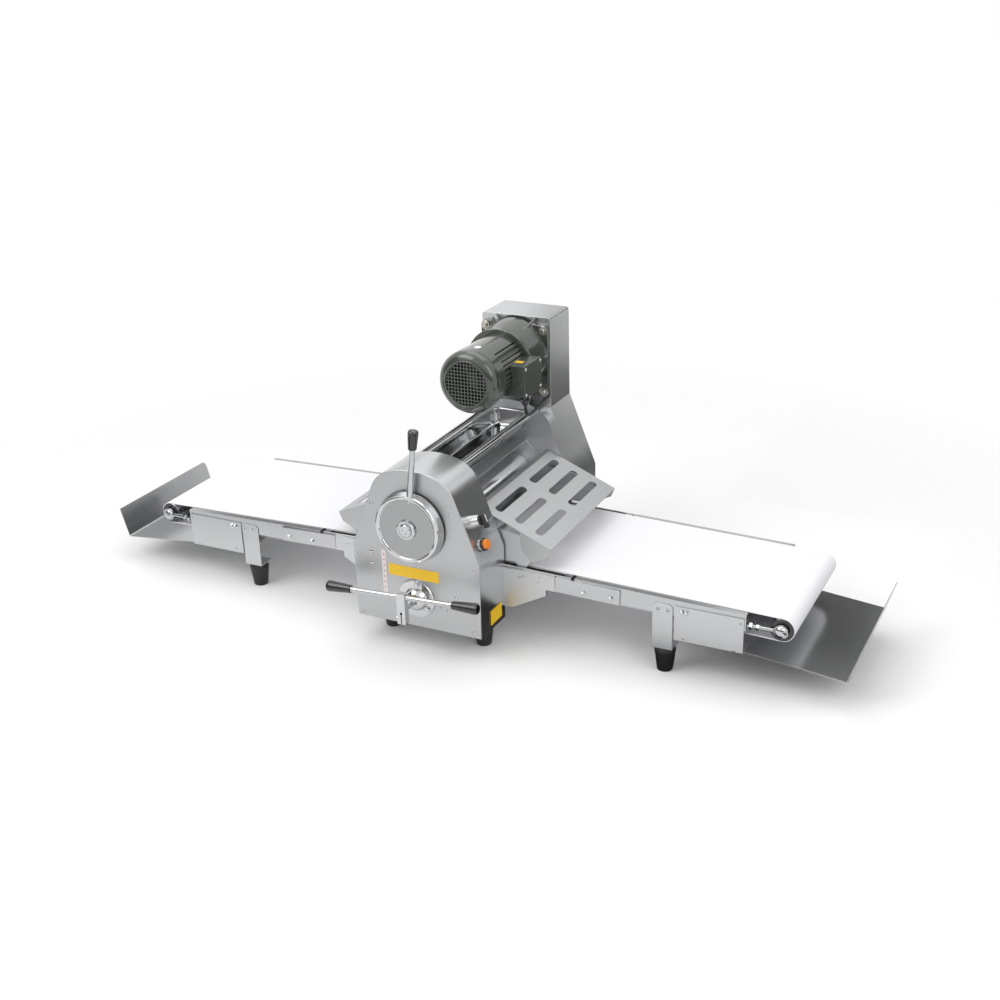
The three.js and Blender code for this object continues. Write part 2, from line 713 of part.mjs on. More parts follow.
function directionShaft() {
  const { x, height, shaftRadius, shaftInner, camY, camThickness, camRadius } = direction;
  const shaft = rodY(x, height, shaftRadius, -clamp.front, -shaftInner);
  const cam = rodY(x, height + camRadius / 4, camRadius, -camY, -camY + camThickness);
  return join(shaft, cam);
}

// The clamp is slit below the shaft, and pinched on it.
function clampBlock() {
  const { x, height, shaftRadius } = direction;
  const { halfWidth, front, back, bottom, top } = clamp;
  const block = box(x - halfWidth, x + halfWidth, -front, -back, bottom, top);
  const slit = box(
    x - clamp.slit / 2, x + clamp.slit / 2, -front - overrun, -back + overrun,
    bottom - overrun, height - shaftRadius,
  );
  return cut(block, slit);
}

function onBarLine(geometry) {
  return geometry.rotateY(-bar.tilt).translate(direction.x, -bar.y, bar.height);
}

function barRod(radius, left, right) {
  return onBarLine(rodX(0, 0, radius, -left, right));
}

function directionLever() {
  const inGrip = barGrip.length / 2;
  const rod = barRod(bar.radius, bar.left + direction.x - inGrip, bar.right - direction.x - inGrip);
  return join(clampBlock(), directionShaft(), rod);
}

function directionGrip(side) {
  const profile = gripProfile(
    bar.radius + seat, barGrip.length / 2 + seat, barGrip.length, barGrip.innerRadius, barGrip.outerRadius,
    barGrip.outerRadius / 4,
  );
  const grip = new THREE.LatheGeometry(profile, 16).rotateZ(-Math.PI / 2);
  if (side > 0) return onBarLine(grip.translate(bar.right - direction.x - barGrip.length, 0, 0));
  return onBarLine(grip.rotateZ(Math.PI).translate(-bar.left - direction.x + barGrip.length, 0, 0));
}

// Hood, side guides and guards.
function stripShape(points, thickness) {
  const outer = points.map(([x, z]) => new THREE.Vector2(x, z));
  const inner = outer.map((point, i) => {
    const before = outer[Math.max(i - 1, 0)];
    const after = outer[Math.min(i + 1, outer.length - 1)];
    const along = after.clone().sub(before).normalize();
    return new THREE.Vector2(point.x + along.y * thickness, point.y - along.x * thickness);
  });
  return new THREE.Shape([...outer, ...inner.reverse()]);
}

// Flat strip over the upper roller, with an end cheek at each side plate.
function rollerHood() {
  const { topHalf, topRise, kneeX, kneeDrop, cheekDrop, sheet, cheekInner } = hood;
  const reach = sidePlate.innerFace - seat;
  const slotHalf = liftBlock.noseRadius + 2 * running;
  const slotTop = upperRollerHeight + lift.up + slotHalf;
  const topHeight = slotTop + topRise;
  const kneeHeight = topHeight - kneeDrop;
  const low = topHeight - cheekDrop;
  const strip = box(-topHalf, topHalf, -reach, reach, topHeight - sheet, topHeight);
  const cheekShape = polygon([
    [-kneeX, low], [-slotHalf, low], [-slotHalf, slotTop], [slotHalf, slotTop], [slotHalf, low], [kneeX, low],
    [kneeX, kneeHeight], [topHalf, topHeight], [-topHalf, topHeight], [-kneeX, kneeHeight],
  ]);
  const cheek = alongY(cheekShape, cheekInner, cheekInner + sheet);
  return join(strip, cheek, mirrorY(cheek));
}

// Sheet beside the belt, hung on posts from the side plate, with a round tab at its foot.
function sideGuideSolid() {
  const { inner, sheet, tabX, tabBottom, tabRadius: r, postRadius, topClear, footShare } = sideGuide;
  const shape = new THREE.Shape();
  const flatFoot = tabBottom + footShare * r;
  const rise = guard.bendHeight - topClear - tabBottom;
  shape.moveTo(guard.pinX, flatFoot);
  shape.lineTo(tabX - r, flatFoot);
  shape.absarc(tabX, tabBottom + r, r, Math.PI * 1.1, Math.PI * 1.9);
  shape.lineTo(tabX + 2 * r, tabBottom + rise / 3);
  shape.lineTo(tabX + r, tabBottom + 5 * rise / 6);
  shape.lineTo(guard.pinX, tabBottom + rise);
  const y1 = inner + sheet;
  const skin = alongY(shape, inner, y1);
  const postX = (guard.pinX + housing.footHalfWidth) / 2;
  const posts = [5 * rise / 12, 3 * rise / 4].map((up) => (
    rodY(postX, tabBottom + up, postRadius, y1 - seat, sidePlate.innerFace + seat, 6)
  ));
  return mirrorY(join(skin, ...posts));
}

// Round-ended slot through a guard, drawn level from the bend and laid on the guard's fall.
function guardSlot(row, side) {
  const { sheet, slotWidth, slotLength, firstRow, rowPitch, slotCentre } = guard;
  const r = slotWidth / 2;
  const half = slotLength / 2 - r;
  const shape = new THREE.Shape();
  shape.absarc(0, half, r, 0, Math.PI);
  shape.absarc(0, -half, r, Math.PI, 2 * Math.PI);
  const depth = 4 * (sheet + overrun);
  const slot = new THREE.ExtrudeGeometry(shape, { depth, bevelEnabled: false, curveSegments: 3 });
  return slot.translate(firstRow + row * rowPitch, side * slotCentre, -depth / 2);
}

function guardSolid() {
  const { flangeX, bendX, bendHeight, edgeX, edgeHeight, sheet, halfWidth, pinX, pinRadius } = guard;
  const profile = stripShape([[flangeX, bendHeight], [bendX, bendHeight], [edgeX, edgeHeight]], sheet);
  const skin = alongY(profile, -halfWidth, halfWidth);
  const lean = Math.atan2(bendHeight - edgeHeight, edgeX - bendX);
  const slots = [];
  for (let row = 0; row < guard.rows; row += 1) {
    for (const side of [-1, 1]) {
      slots.push(guardSlot(row, side).rotateY(lean).translate(bendX, 0, bendHeight));
    }
  }
  const reach = edgeX - bendX;
  const fall = bendHeight - edgeHeight;
  const along = (share) => [bendX + share * reach, bendHeight - share * fall - sheet / 2];
  const drop = edgeHeight - sheet;
  const arc = [];
  const steps = 4;
  for (let i = 0; i <= steps; i += 1) {
    const share = i / steps;
    const across = guardCheek.arcStartShare - guardCheek.arcWidthShare * (1 - Math.cos(Math.PI / 2 * share));
    arc.push([edgeX - across * reach, drop - guardCheek.arcDropShare * reach * share]);
  }
  const toe = [edgeX - guardCheek.toeShare * reach, drop - guardCheek.toeDropShare * reach];
  const lugRoot = along(guardCheek.lugShare);
  const lug = [
    [flangeX, bendHeight - sheet / 2], [flangeX, guardPinHeight - 2 * pinRadius],
    [lugRoot[0], lugRoot[1] - 2 * pinRadius], lugRoot,
  ];
  const cheekOf = (points) => alongY(polygon(points), -halfWidth, -halfWidth + sheet);
  const pin = rodY(pinX, guardPinHeight, pinRadius, -sidePlate.innerFace - sheet, -halfWidth + seat, 16);
  const cheek = cheekOf([along(guardCheek.startShare), ...arc, toe, along(guardCheek.tipShare)]);
  const near = [cheek, cheekOf(lug), pin];
  return cut(join(skin, ...near, ...near.map(mirrorY)), ...slots);
}

// Deep-drawn tray made of rounded rectangles, stacked from the outside bottom to the inside bottom.
function roundedRing(halfX, halfY, corner, z) {
  const ring = [];
  const steps = 4;
  for (const [sx, sy, turn] of [[1, 1, 0], [-1, 1, 1], [-1, -1, 2], [1, -1, 3]]) {
    for (let i = 0; i <= steps; i += 1) {
      const angle = Math.PI / 2 * (turn + i / steps);
      ring.push(new THREE.Vector3(
        sx * (halfX - corner) + corner * Math.cos(angle),
        sy * (halfY - corner) + corner * Math.sin(angle), z,
      ));
    }
  }
  return ring;
}

function flourTray() {
  const { halfWidth, halfLength, bottom, top, draft, corner, wall, rim } = tray;
  const ring = (inset, r, z) => roundedRing(halfWidth - inset, halfLength - inset, r, z);
  return loft([
    ring(rim + draft + wall, corner - wall, bottom), ring(rim + draft, corner, bottom + 2 * wall),
    ring(rim, corner, top - rim), ring(0, corner + rim, top - rim), ring(0, corner + rim, top),
    ring(rim + wall, corner - wall, top), ring(rim + draft + wall, corner - wall, bottom + 2 * wall + wall),
    ring(rim + draft + 2 * wall, corner - 2 * wall, bottom + wall),
  ]);
}

// Conveyor tables.
const wheelIn = { x: driveRoller.x, z: driveRoller.height, r: driveRoller.radius };
const wheelOut = { x: endRollerX, z: endRoller.height, r: endRoller.radius };
const beltRun = Math.hypot(wheelOut.x - wheelIn.x, wheelOut.z - wheelIn.z);
const axisFall = Math.asin((wheelIn.z - wheelOut.z) / beltRun);
const beltFall = axisFall - Math.asin((wheelOut.r - wheelIn.r) / beltRun);

// Pieces of a bed are drawn level, from the drive roller's axis, then laid on the belt's slope.
const fromRoller = (x) => x - wheelIn.x;
const aboveRoller = (x, z) => z - wheelIn.z + fromRoller(x) * Math.tan(beltFall);

function onSlope(geometry) {
  return geometry.rotateY(beltFall).translate(wheelIn.x, 0, wheelIn.z);
}

function beltLoop() {
  return band([wheelIn, wheelOut], seat, seat + belt.thickness, -belt.halfWidth, belt.halfWidth, 7);
}

// Sheet-metal bed with folded-down rails.
function bedSection(start, end) {
  const side = sidePlate.innerFace - bed.sideClear;
  const inner = side - bed.sheet;
  const top = driveRoller.radius;
  const low = top - bed.railHeight;
  const under = top - bed.sheet;
  const section = polygon([
    [-side, low], [-inner, low], [-inner, under], [inner, under],
    [inner, low], [side, low], [side, top], [-side, top],
  ]);
  return alongX(section, fromRoller(start), fromRoller(end));
}

function innerBed() {
  const top = driveRoller.radius;
  const slot = box(
    fromRoller(bed.slotStart), fromRoller(bed.slotEnd), bed.slotInner, bed.slotOuter,
    top - 2 * bed.sheet, top + overrun,
  );
  return onSlope(cut(bedSection(bed.start, bed.joint), slot, mirrorY(slot)));
}

// The outer bed hangs on the splice plates that reach forward over the inner bed's rails.
function outerBed() {
  const side = sidePlate.innerFace;
  const start = bed.joint + bed.jointGap;
  const lugX = endFrame.end - endFrame.lugSet;
  const lugTop = aboveRoller(lugX, endFrame.top);
  const notch = box(
    fromRoller(lugX - overrun), fromRoller(lugX + endFrame.sheet + overrun), -side, side,
    -2 * bed.railHeight, Math.min(lugTop + seat, driveRoller.radius - 2 * bed.sheet),
  );
  const section = cut(bedSection(start, endFrame.end + bed.overEnd), notch);
  const top = aboveRoller(wing.tip, splice.top);
  const low = top - splice.height;
  const outer = side + splice.thickness;
  const ahead = box(fromRoller(wing.tip) + splice.clear, fromRoller(start) + overrun, side, outer, low, top);
  const behind = box(fromRoller(start) + seat, fromRoller(splice.end), side - bed.sheet / 2, outer, low, top);
  const plate = join(ahead, behind);
  return onSlope(join(section, plate, mirrorY(plate)));
}

// Bracket between an outer bed's rail and a rubber foot, drawn for the rear side.
function legBracket() {
  const { start, end, top, bottom, sheet, topCorner: c, flange } = leg;
  const y1 = sidePlate.innerFace + sheet;
  const side = polygon([
    [start, bottom], [end, bottom], [end, top - c], [end - c, top], [start + c, top], [start, top - c],
  ]);
  return join(alongY(side, y1 - sheet, y1), box(start, end, y1 - flange, y1, bottom, bottom + sheet));
}

function endFrameSolid() {
  const { start, end, top, bottom, sheet, lugSet, lugInner, lugLow } = endFrame;
  const y1 = sidePlate.innerFace + sheet;
  const side = box(start, end, y1 - sheet, y1, bottom, top);
  const lugX = end - lugSet;
  const lug = box(lugX, lugX + sheet, lugInner, y1 - sheet / 2, lugLow, top);
  const near = join(side, lug, tensioner());
  const floor = box(start, end, -y1, y1, bottom, bottom + sheet);
  return join(near, mirrorY(near), floor);
}

function tensioner() {
  const {
    eyeRadius, eyeInner, eyeOuter, rodRadius, rodTail, nutRadius, nutLength, outerNutAhead, outerNutRadius,
  } = tension;
  const y = (eyeInner + eyeOuter) / 2;
  const eye = rodY(endRollerX, endRoller.height, eyeRadius, eyeInner, eyeOuter, 16);
  const boreRadius = (endRoller.journalRadius + running / 2) / Math.cos(Math.PI / 12);
  const boreEnd = eyeOuter - rodRadius / 2;
  const bore = rodY(endRollerX, endRoller.height, boreRadius, eyeInner - overrun, boreEnd, 12);
  const rodEnd = endRollerX - endRoller.journalRadius - overrun;
  const rod = rodX(y, endRoller.height, rodRadius, endFrame.end - rodTail, rodEnd, 8);
  const lugX = endFrame.end - endFrame.lugSet;
  const nutAt = (x, radius) => rodX(y, endRoller.height, radius, x, x + nutLength, 6);
  const nuts = [
    nutAt(lugX + seat - nutLength, nutRadius), nutAt(lugX + endFrame.sheet - seat, nutRadius),
    nutAt(endFrame.end + outerNutAhead, outerNutRadius),
  ];
  return cut(join(eye, rod, ...nuts), bore);
}

function beltRoller(wheel, journal, frontEnd, rearEnd) {
  const half = belt.halfWidth;
  return turned([
    [0, -frontEnd], [journal, -frontEnd], [journal, -half], [wheel.r, -half], [wheel.r, half],
    [journal, half], [journal, rearEnd], [0, rearEnd],
  ], wheel.x, wheel.z, 20);
}

function catchPan() {
  const { startBack, reach, bendHeight, lipRun, lipTop, halfWidth, sheet, lipCorner } = pan;
  const startHeight = endFrame.bottom - seat;
  const frameEnd = endFrame.end;
  const bendX = endRollerX + reach;
  const lipX = bendX + lipRun;
  const run = stripShape([
    [frameEnd - startBack, startHeight], [frameEnd, startHeight], [bendX, bendHeight], [lipX, lipTop],
  ], sheet);
  const skin = alongY(run, -halfWidth, halfWidth);
  const trim = new THREE.Shape();
  const corner = lipCorner;
  trim.moveTo(halfWidth + overrun, lipTop - corner);
  trim.lineTo(halfWidth, lipTop - corner);
  trim.absarc(halfWidth - corner, lipTop - corner, corner, 0, Math.PI / 2);
  trim.lineTo(halfWidth - corner, lipTop + overrun);
  trim.lineTo(halfWidth + overrun, lipTop + overrun);
  const depth = lipX - bendX + 2 * overrun;
  const cutter = new THREE.ExtrudeGeometry(trim, { depth, bevelEnabled: false, curveSegments: 3 });
  const basis = new THREE.Matrix4().makeBasis(
    new THREE.Vector3(0, 1, 0), new THREE.Vector3(0, 0, 1), new THREE.Vector3(1, 0, 0),
  );
  cutter.applyMatrix4(basis).translate(bendX - overrun / 2, 0, 0);
  return cut(skin, cutter, mirrorY(cutter));
}

// Gear motor. The bell swells from the motor's ring to the motor box in these shares.
const bellShares = [[0, 0], [0.2, 0.35], [0.5, 0.75], [0.8, 1], [1, 1]];

function gearbox() {
  const half = motor.flangeHalf;
  const c = motor.flangeCorner;
  const shape = new THREE.Shape();
  shape.absarc(half - c, flangeHeight + half - c, c, 0, Math.PI / 2);
  shape.absarc(c - half, flangeHeight + half - c, c, Math.PI / 2, Math.PI);
  shape.absarc(c - half, flangeHeight - half + c, c, Math.PI, 1.5 * Math.PI);
  shape.absarc(half - c, flangeHeight - half + c, c, 1.5 * Math.PI, 2 * Math.PI);
  const back = motorBox.front;
  const flangeFront = back - motor.flangeThickness;
  const flange = alongY(shape, flangeFront, back, 3);
  const bell = turned([
    [0, motor.bellFront], ...bellShares.map(([run, swell]) => [
      motor.bellRadius + swell * (motor.bellBackRadius - motor.bellRadius),
      motor.bellFront + run * (back - motor.bellFront),
    ]), [0, back],
  ], 0, motorHeight, 32);
  const spigotEnd = back + motorBox.corner;
  const spigot = rodY(0, flangeHeight, motorBox.spigotRadius - running, back - seat, spigotEnd, 28);
  const bore = rodY(0, flangeHeight, drive.outputRadius + running, flangeFront, spigotEnd + overrun);
  return cut(join(flange, bell, spigot), bore);
}

// Corners of one cooling rib, as radius and share of the pitch.
const ribShares = [
  [motor.coreRadius, 0.1], [motor.ribRadius, 0.25], [motor.ribRadius, 0.75], [motor.coreRadius, 0.9],
];

function motorBody() {
  const points = [];
  for (let i = 0; i < motor.ribs; i += 1) {
    for (const [radius, share] of ribShares) {
      const angle = 2 * Math.PI * (i + share) / motor.ribs;
      points.push([radius * Math.cos(angle), motorHeight + radius * Math.sin(angle)]);
    }
  }
  const ringFront = motor.bellFront - seat - motor.ringThickness;
  const ribbed = alongY(polygon(points), motor.bodyFront, ringFront + seat);
  const ring = rodY(0, motorHeight, motor.ringRadius, ringFront, motor.bellFront - seat, 28);
  const shieldFront = motor.cowlBack - motor.shield;
  const shieldRadius = motor.cowlRadius - motor.cowlWall - seat;
  const shield = rodY(0, motorHeight, shieldRadius, shieldFront, motor.bodyFront + seat, 28);
  const boreEnd = motor.bodyFront + fan.back;
  const bore = rodY(0, motorHeight, motor.shaftRadius + running, shieldFront - overrun, boreEnd);
  return cut(join(ribbed, ring, shield), bore);
}

function fanCowl() {
  const { cowlFront, cowlBack, cowlRadius, cowlFace, cowlWall, cowlShoulder } = motor;
  const inner = cowlRadius - cowlWall;
  const skin = turned([
    [0, cowlFront], [cowlFace, cowlFront], [cowlRadius - cowlShoulder / 2, cowlFront + cowlShoulder / 4],
    [cowlRadius, cowlFront + cowlShoulder], [cowlRadius, cowlBack], [inner, cowlBack],
    [inner, cowlFront + cowlShoulder], [cowlFace, cowlFront + cowlWall], [0, cowlFront + cowlWall],
  ], 0, motorHeight, 28);
  const holes = [];
  const { pitch, halfHole: half, rows } = grille;
  const holeFront = cowlFront - overrun;
  const holeBack = cowlFront + cowlWall + overrun;
  for (let row = -rows; row <= rows; row += 1) {
    for (let column = -rows; column <= rows; column += 1) {
      const x = column * pitch;
      const z = motorHeight + row * pitch;
      if (Math.hypot(Math.abs(x) + half, Math.abs(row * pitch) + half) < cowlFace - cowlWall) {
        holes.push(box(x - half, x + half, holeFront, holeBack, z - half, z + half));
      }
    }
  }
  return cut(skin, ...holes);
}

function motorFan() {
  const { shaftRadius, bodyFront } = motor;
  const { radius, back, depth, disc, blade, blades, shaftTail } = fan;
  const front = back - depth;
  const plate = rodY(0, motorHeight, radius, back - disc, back, 20);
  const hub = rodY(0, motorHeight, 2 * shaftRadius, front, back, 12);
  const vanes = [];
  for (let i = 0; i < blades; i += 1) {
    const vane = box(shaftRadius, radius - blade, front, back - disc / 2, -blade / 2, blade / 2);
    vanes.push(vane.rotateY(2 * Math.PI * i / blades).translate(0, 0, motorHeight));
  }
  const shaft = rodY(0, motorHeight, shaftRadius, back - disc / 2, bodyFront + shaftTail);
  return join(plate, hub, shaft, ...vanes);
}

// The box sits like a saddle on the ribs, in front of the motor's ring.
function terminalBoxSolid() {
  const { inner, outer, front, back, above, lid, lip } = terminalBox;
  const low = boxLow;
  const high = motorHeight + above;
  const body = box(inner, outer - lid, front, back, low, high);
  const ringFront = motor.bellFront - seat - motor.ringThickness;
  const around = rodY(0, motorHeight, motor.ribRadius + 2 * seat, front - overrun, back + overrun, 48);
  const ringRoom = rodY(0, motorHeight, motor.ringRadius + 2 * seat, ringFront - seat, back + overrun, 48);
  const cover = box(outer - lid - seat, outer, front - lip, back + lip, low - lip, high + lip);
  const nut = new THREE.CylinderGeometry(gland.nutRadius, gland.nutRadius, gland.length / 2, 6);
  const barrel = new THREE.CylinderGeometry(gland.radius, gland.radius * gland.taper, gland.length, 16);
  nut.rotateX(Math.PI / 2).translate(gland.x, gland.y, low - gland.length / 4 + seat);
  barrel.rotateX(Math.PI / 2).translate(gland.x, gland.y, low - gland.length / 2);
  return join(cut(join(body, cover), around, ringRoom), nut, barrel);
}

// Short lead from the gland into the front of the motor box, in shares of its run from end to end.
const leadShares = [
  [0, 0, 0], [0, 0, 0.157], [0, 0.009, 0.398], [0, 0.035, 0.639], [0.028, 0.093, 0.831], [0.083, 0.185, 0.94],
  [0.222, 0.324, 1], [0.444, 0.486, 1.024], [0.667, 0.66, 1.024], [0.889, 0.822, 1.012], [1, 0.926, 1],
  [1, 1, 1],
];

function motorLead() {
  const start = new THREE.Vector3(gland.x, gland.y, boxLow - gland.length - lead.seatIn);
  const endHeight = flangeHeight - motor.flangeHalf - lead.belowFlange;
  const run = new THREE.Vector3(lead.endX, motorBox.front - lead.clear, endHeight).sub(start);
  const points = leadShares.map(([x, y, z]) => new THREE.Vector3(x, y, z).multiply(run).add(start));
  const curve = new THREE.CatmullRomCurve3(points);
  const section = new THREE.Shape();
  section.absarc(0, 0, lead.radius, 0, 2 * Math.PI);
  return new THREE.ExtrudeGeometry(section, { steps: 18, extrudePath: curve, curveSegments: 4 });
}

// Sprockets and chains of the drive.
function sprocketShape(x, z, radius, bore, teeth) {
  const points = [];
  for (let i = 0; i < teeth; i += 1) {
    for (const [r, share] of [[radius - drive.tooth, 0], [radius, 0.5]]) {
      const angle = 2 * Math.PI * (i + share) / teeth;
      points.push([x + r * Math.cos(angle), z + r * Math.sin(angle)]);
    }
  }
  const shape = polygon(points);
  shape.holes.push(roundHole(x, z, bore));
  return shape;
}

const wheelMotor = { x: 0, z: flangeHeight, r: drive.motorSprocket };
const wheelRoller = { x: 0, z: roller.lowerHeight, r: drive.rollerSprocket };
const beltWheels = [
  { x: driveRoller.x, z: driveRoller.height, r: drive.beltSprocket },
  { x: -driveRoller.x, z: driveRoller.height, r: drive.beltSprocket },
  { x: 0, z: roller.lowerHeight, r: drive.beltDriver },
];

function sprocket(wheel, bore, y0, teeth) {
  return alongY(sprocketShape(wheel.x, wheel.z, wheel.r, bore, teeth), y0, y0 + drive.sprocketWidth, 5);
}

function outputShaft() {
  const y0 = motorBox.front - motor.flangeThickness + seat;
  return join(
    rodY(0, flangeHeight, drive.outputRadius, y0, drive.outputEnd),
    sprocket(wheelMotor, drive.outputRadius / 2, drive.sprocketY, 14),
  );
}

// Controls stand square to the sloped flank.
function onFlank(geometry, y, z) {
  return geometry.rotateZ(-Math.PI / 2).rotateY(-housing.slope).translate(slopeX(z), y, z);
}

function switchBoss() {
  const length = control.bossRise + housing.wall / 2;
  const boss = new THREE.CylinderGeometry(control.bossTop, control.bossRadius, length, 24);
  return onFlank(boss.translate(0, control.bossRise - length / 2, 0), control.switchY, switchHeight);
}

function buttonBezel() {
  const bore = control.capRadius + running;
  const root = -housing.wall / 2;
  const ring = [
    [bore, root], [control.bezelRadius, root], [control.bezelRadius, control.bezelRise],
    [bore, control.bezelRise], [bore, root],
  ];
  const bezel = new THREE.LatheGeometry(ring.map(([r, rise]) => new THREE.Vector2(r, rise)), 24);
  return onFlank(bezel, control.buttonY, buttonHeight);
}

function switchKnob() {
  const start = control.bossRise + seat;
  const { knobRadius, knobRise, handleLength, handleWidth } = control;
  const disc = new THREE.CylinderGeometry(knobRadius, knobRadius, knobRise / 3, 20);
  disc.translate(0, start + knobRise / 6, 0);
  const handle = new THREE.BoxGeometry(handleLength, knobRise, handleWidth);
  handle.translate(-knobRadius / 4, start + knobRise / 2, 0);
  return onFlank(join(disc, handle), control.switchY, switchHeight);
}

function pushButton() {
  const { capRound, capRadius: r } = control;
  const rise = control.bezelRise + control.capRise;
  const start = control.travel + seat;
  const profile = [[0, start], [r, start], [r, rise - capRound], [r - capRound, rise], [0, rise]];
  const cap = new THREE.LatheGeometry(profile.map(([radius, y]) => new THREE.Vector2(radius, y)), 24);
  return onFlank(cap, control.buttonY, buttonHeight);
}

// Assembly.
addPart('front_plate', frontPlate(), brushed);
addPart('front_cover', frontCover(), brushed);
addPart('front_side_plate', join(frontSidePlate(), ...lowerRods()), brushed);
addPart('rear_side_plate', mirrorY(frontSidePlate()), brushed);
addPart('rear_cover', rearCover(), brushed);
addPart('motor_box', motorCasing(), brushed);
addPart('upper_rod_right', upperRod(), chrome);
addPart('upper_rod_left', mirrorX(upperRod()), chrome);

const feet = [
  ['front_foot', foot.housingX, frontFootY, housing.bottom],
  ['rear_foot', foot.housingX, rearFootY, housing.bottom],
  ['front_table_foot', tableFoot.x, -tableFoot.y, leg.bottom],
  ['rear_table_foot', tableFoot.x, tableFoot.y, leg.bottom],
];
for (const [name, x, y, height] of feet) {
  const footSolid = rubberFoot(x, y, height);
  addPart(`${name}_right`, footSolid, rubber);
  addPart(`${name}_left`, mirrorX(footSolid), rubber);
}

const lowerFrontEnd = plateOuter + bearing.length + running;
const lowerRearEnd = drive.sprocketY + 2 * drive.sprocketWidth;
const upperEnd = plateOuter + liftBlock.thickness;
addPart('lower_roller', join(
  rollerSolid(roller.lowerHeight, lowerFrontEnd, lowerRearEnd),
  sprocket(wheelRoller, roller.journalRadius / 2, drive.sprocketY, 16),
  sprocket(beltWheels[2], roller.journalRadius / 2, drive.beltSprocketY, 14),
), chrome);
addPart('upper_roller', rollerSolid(upperRollerHeight, upperEnd, upperEnd), chrome);
addPart('lift_block_rear', liftBlockSolid(), darkSteel);
addPart('lift_block_front', mirrorY(liftBlockSolid()), darkSteel);
addPart('lift_shaft', join(liftShaftSolid(), liftGearOnShaft()), darkSteel);
addPart('roller_hood', rollerHood(), polished);

addPart('thickness_dial', join(dialDisc(), dialShaft(), leverRod()), chrome);
addPart('thickness_grip', leverGrip(), blackPlastic);

addPart('direction_flange', directionFlange(), polished);
addPart('direction_lever', directionLever(), chrome);
addPart('direction_grip_right', directionGrip(1), blackPlastic);
addPart('direction_grip_left', directionGrip(-1), blackPlastic);

addPart('guard_right', guardSolid(), brushed);
addPart('guard_left', mirrorX(guardSolid()), brushed);
addPart('flour_tray', flourTray(), polished);

addPart('gearbox', gearbox(), castGreen);
addPart('motor_body', motorBody(), castGreen);
addPart('fan_cowl', fanCowl(), castGreen);
addPart('motor_fan', motorFan(), blackPlastic);
addPart('terminal_box', terminalBoxSolid(), castGreen);
addPart('motor_lead', motorLead(), rubber);

addPart('output_shaft', outputShaft(), darkSteel);

// Closed band that stands for a chain round its sprockets.
function chainLoop(wheels, y0, steps) {
  return band(wheels, running, drive.chain, y0, y0 + drive.sprocketWidth, steps);
}

addPart('drive_chain', chainLoop([wheelMotor, wheelRoller], drive.sprocketY, 6), darkSteel);
addPart('belt_chain', chainLoop(beltWheels, drive.beltSprocketY, 4), darkSteel);

addPart('switch_knob', switchKnob(), blackPlastic);
addPart('push_button', pushButton(), orangePlastic);

function driveRollerSolid() {
  const frontEnd = plateOuter + bearing.length;
  const rearEnd = drive.beltSprocketY + drive.sprocketWidth;
  const body = beltRoller(wheelIn, driveRoller.journalRadius, frontEnd, rearEnd);
  return join(body, sprocket(beltWheels[0], driveRoller.journalRadius / 2, drive.beltSprocketY, 8));
}

function endRollerSolid() {
  const end = tension.eyeOuter - tension.rodRadius;
  return beltRoller(wheelOut, endRoller.journalRadius, end, end);
}

const tableParts = [
  ['inner_bed', innerBed(), brushed],
  ['outer_bed', outerBed(), brushed],
  ['front_leg', mirrorY(legBracket()), brushed],
  ['rear_leg', legBracket(), brushed],
  ['end_frame', endFrameSolid(), brushed],
  ['conveyor_belt', beltLoop(), beltCloth],
  ['drive_roller', driveRollerSolid(), polished],
  ['end_roller', endRollerSolid(), polished],
  ['catch_pan', catchPan(), brushed],
];
for (const [name, geometry, material] of tableParts) {
  addPart(`${name}_right`, geometry, material);
  addPart(`${name}_left`, mirrorX(geometry), material);
}

export default machine;
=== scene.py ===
"""Finish, fasteners and trim of a table-top electric dough sheeter, built around its CAD solids."""

import json
import math

import bpy
from mathutils import Matrix, Vector

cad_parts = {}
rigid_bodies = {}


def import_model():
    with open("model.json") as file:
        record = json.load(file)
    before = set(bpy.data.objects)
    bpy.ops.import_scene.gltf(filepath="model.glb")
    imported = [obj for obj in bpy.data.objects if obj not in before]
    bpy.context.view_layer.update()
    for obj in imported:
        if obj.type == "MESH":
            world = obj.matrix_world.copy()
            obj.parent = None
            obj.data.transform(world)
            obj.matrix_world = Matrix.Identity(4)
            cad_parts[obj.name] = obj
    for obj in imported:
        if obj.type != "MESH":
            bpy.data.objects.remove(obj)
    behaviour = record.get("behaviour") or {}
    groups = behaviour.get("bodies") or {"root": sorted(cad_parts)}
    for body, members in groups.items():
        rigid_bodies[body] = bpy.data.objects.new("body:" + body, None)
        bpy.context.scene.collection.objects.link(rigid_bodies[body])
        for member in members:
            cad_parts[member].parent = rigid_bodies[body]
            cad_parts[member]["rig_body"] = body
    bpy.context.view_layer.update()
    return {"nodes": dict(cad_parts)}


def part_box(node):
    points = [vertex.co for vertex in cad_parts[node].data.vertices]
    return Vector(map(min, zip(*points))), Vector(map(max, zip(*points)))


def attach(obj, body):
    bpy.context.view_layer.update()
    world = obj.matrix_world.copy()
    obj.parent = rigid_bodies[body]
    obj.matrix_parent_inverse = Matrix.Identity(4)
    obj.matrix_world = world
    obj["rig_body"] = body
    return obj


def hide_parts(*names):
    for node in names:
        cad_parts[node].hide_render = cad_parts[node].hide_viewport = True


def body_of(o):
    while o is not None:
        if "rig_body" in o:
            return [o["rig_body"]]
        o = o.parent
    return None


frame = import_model()

bl_info = {
    "name": "Dough sheeter",
    "version": (1, 0, 0),
    "blender": (4, 5, 0),
    "location": "3D View > Sidebar > Dough sheeter",
    "description": "Builds the sheet metal, rollers, motor, levers and fasteners of a dough sheeter",
    "category": "Add Mesh",
}

MM = 0.001
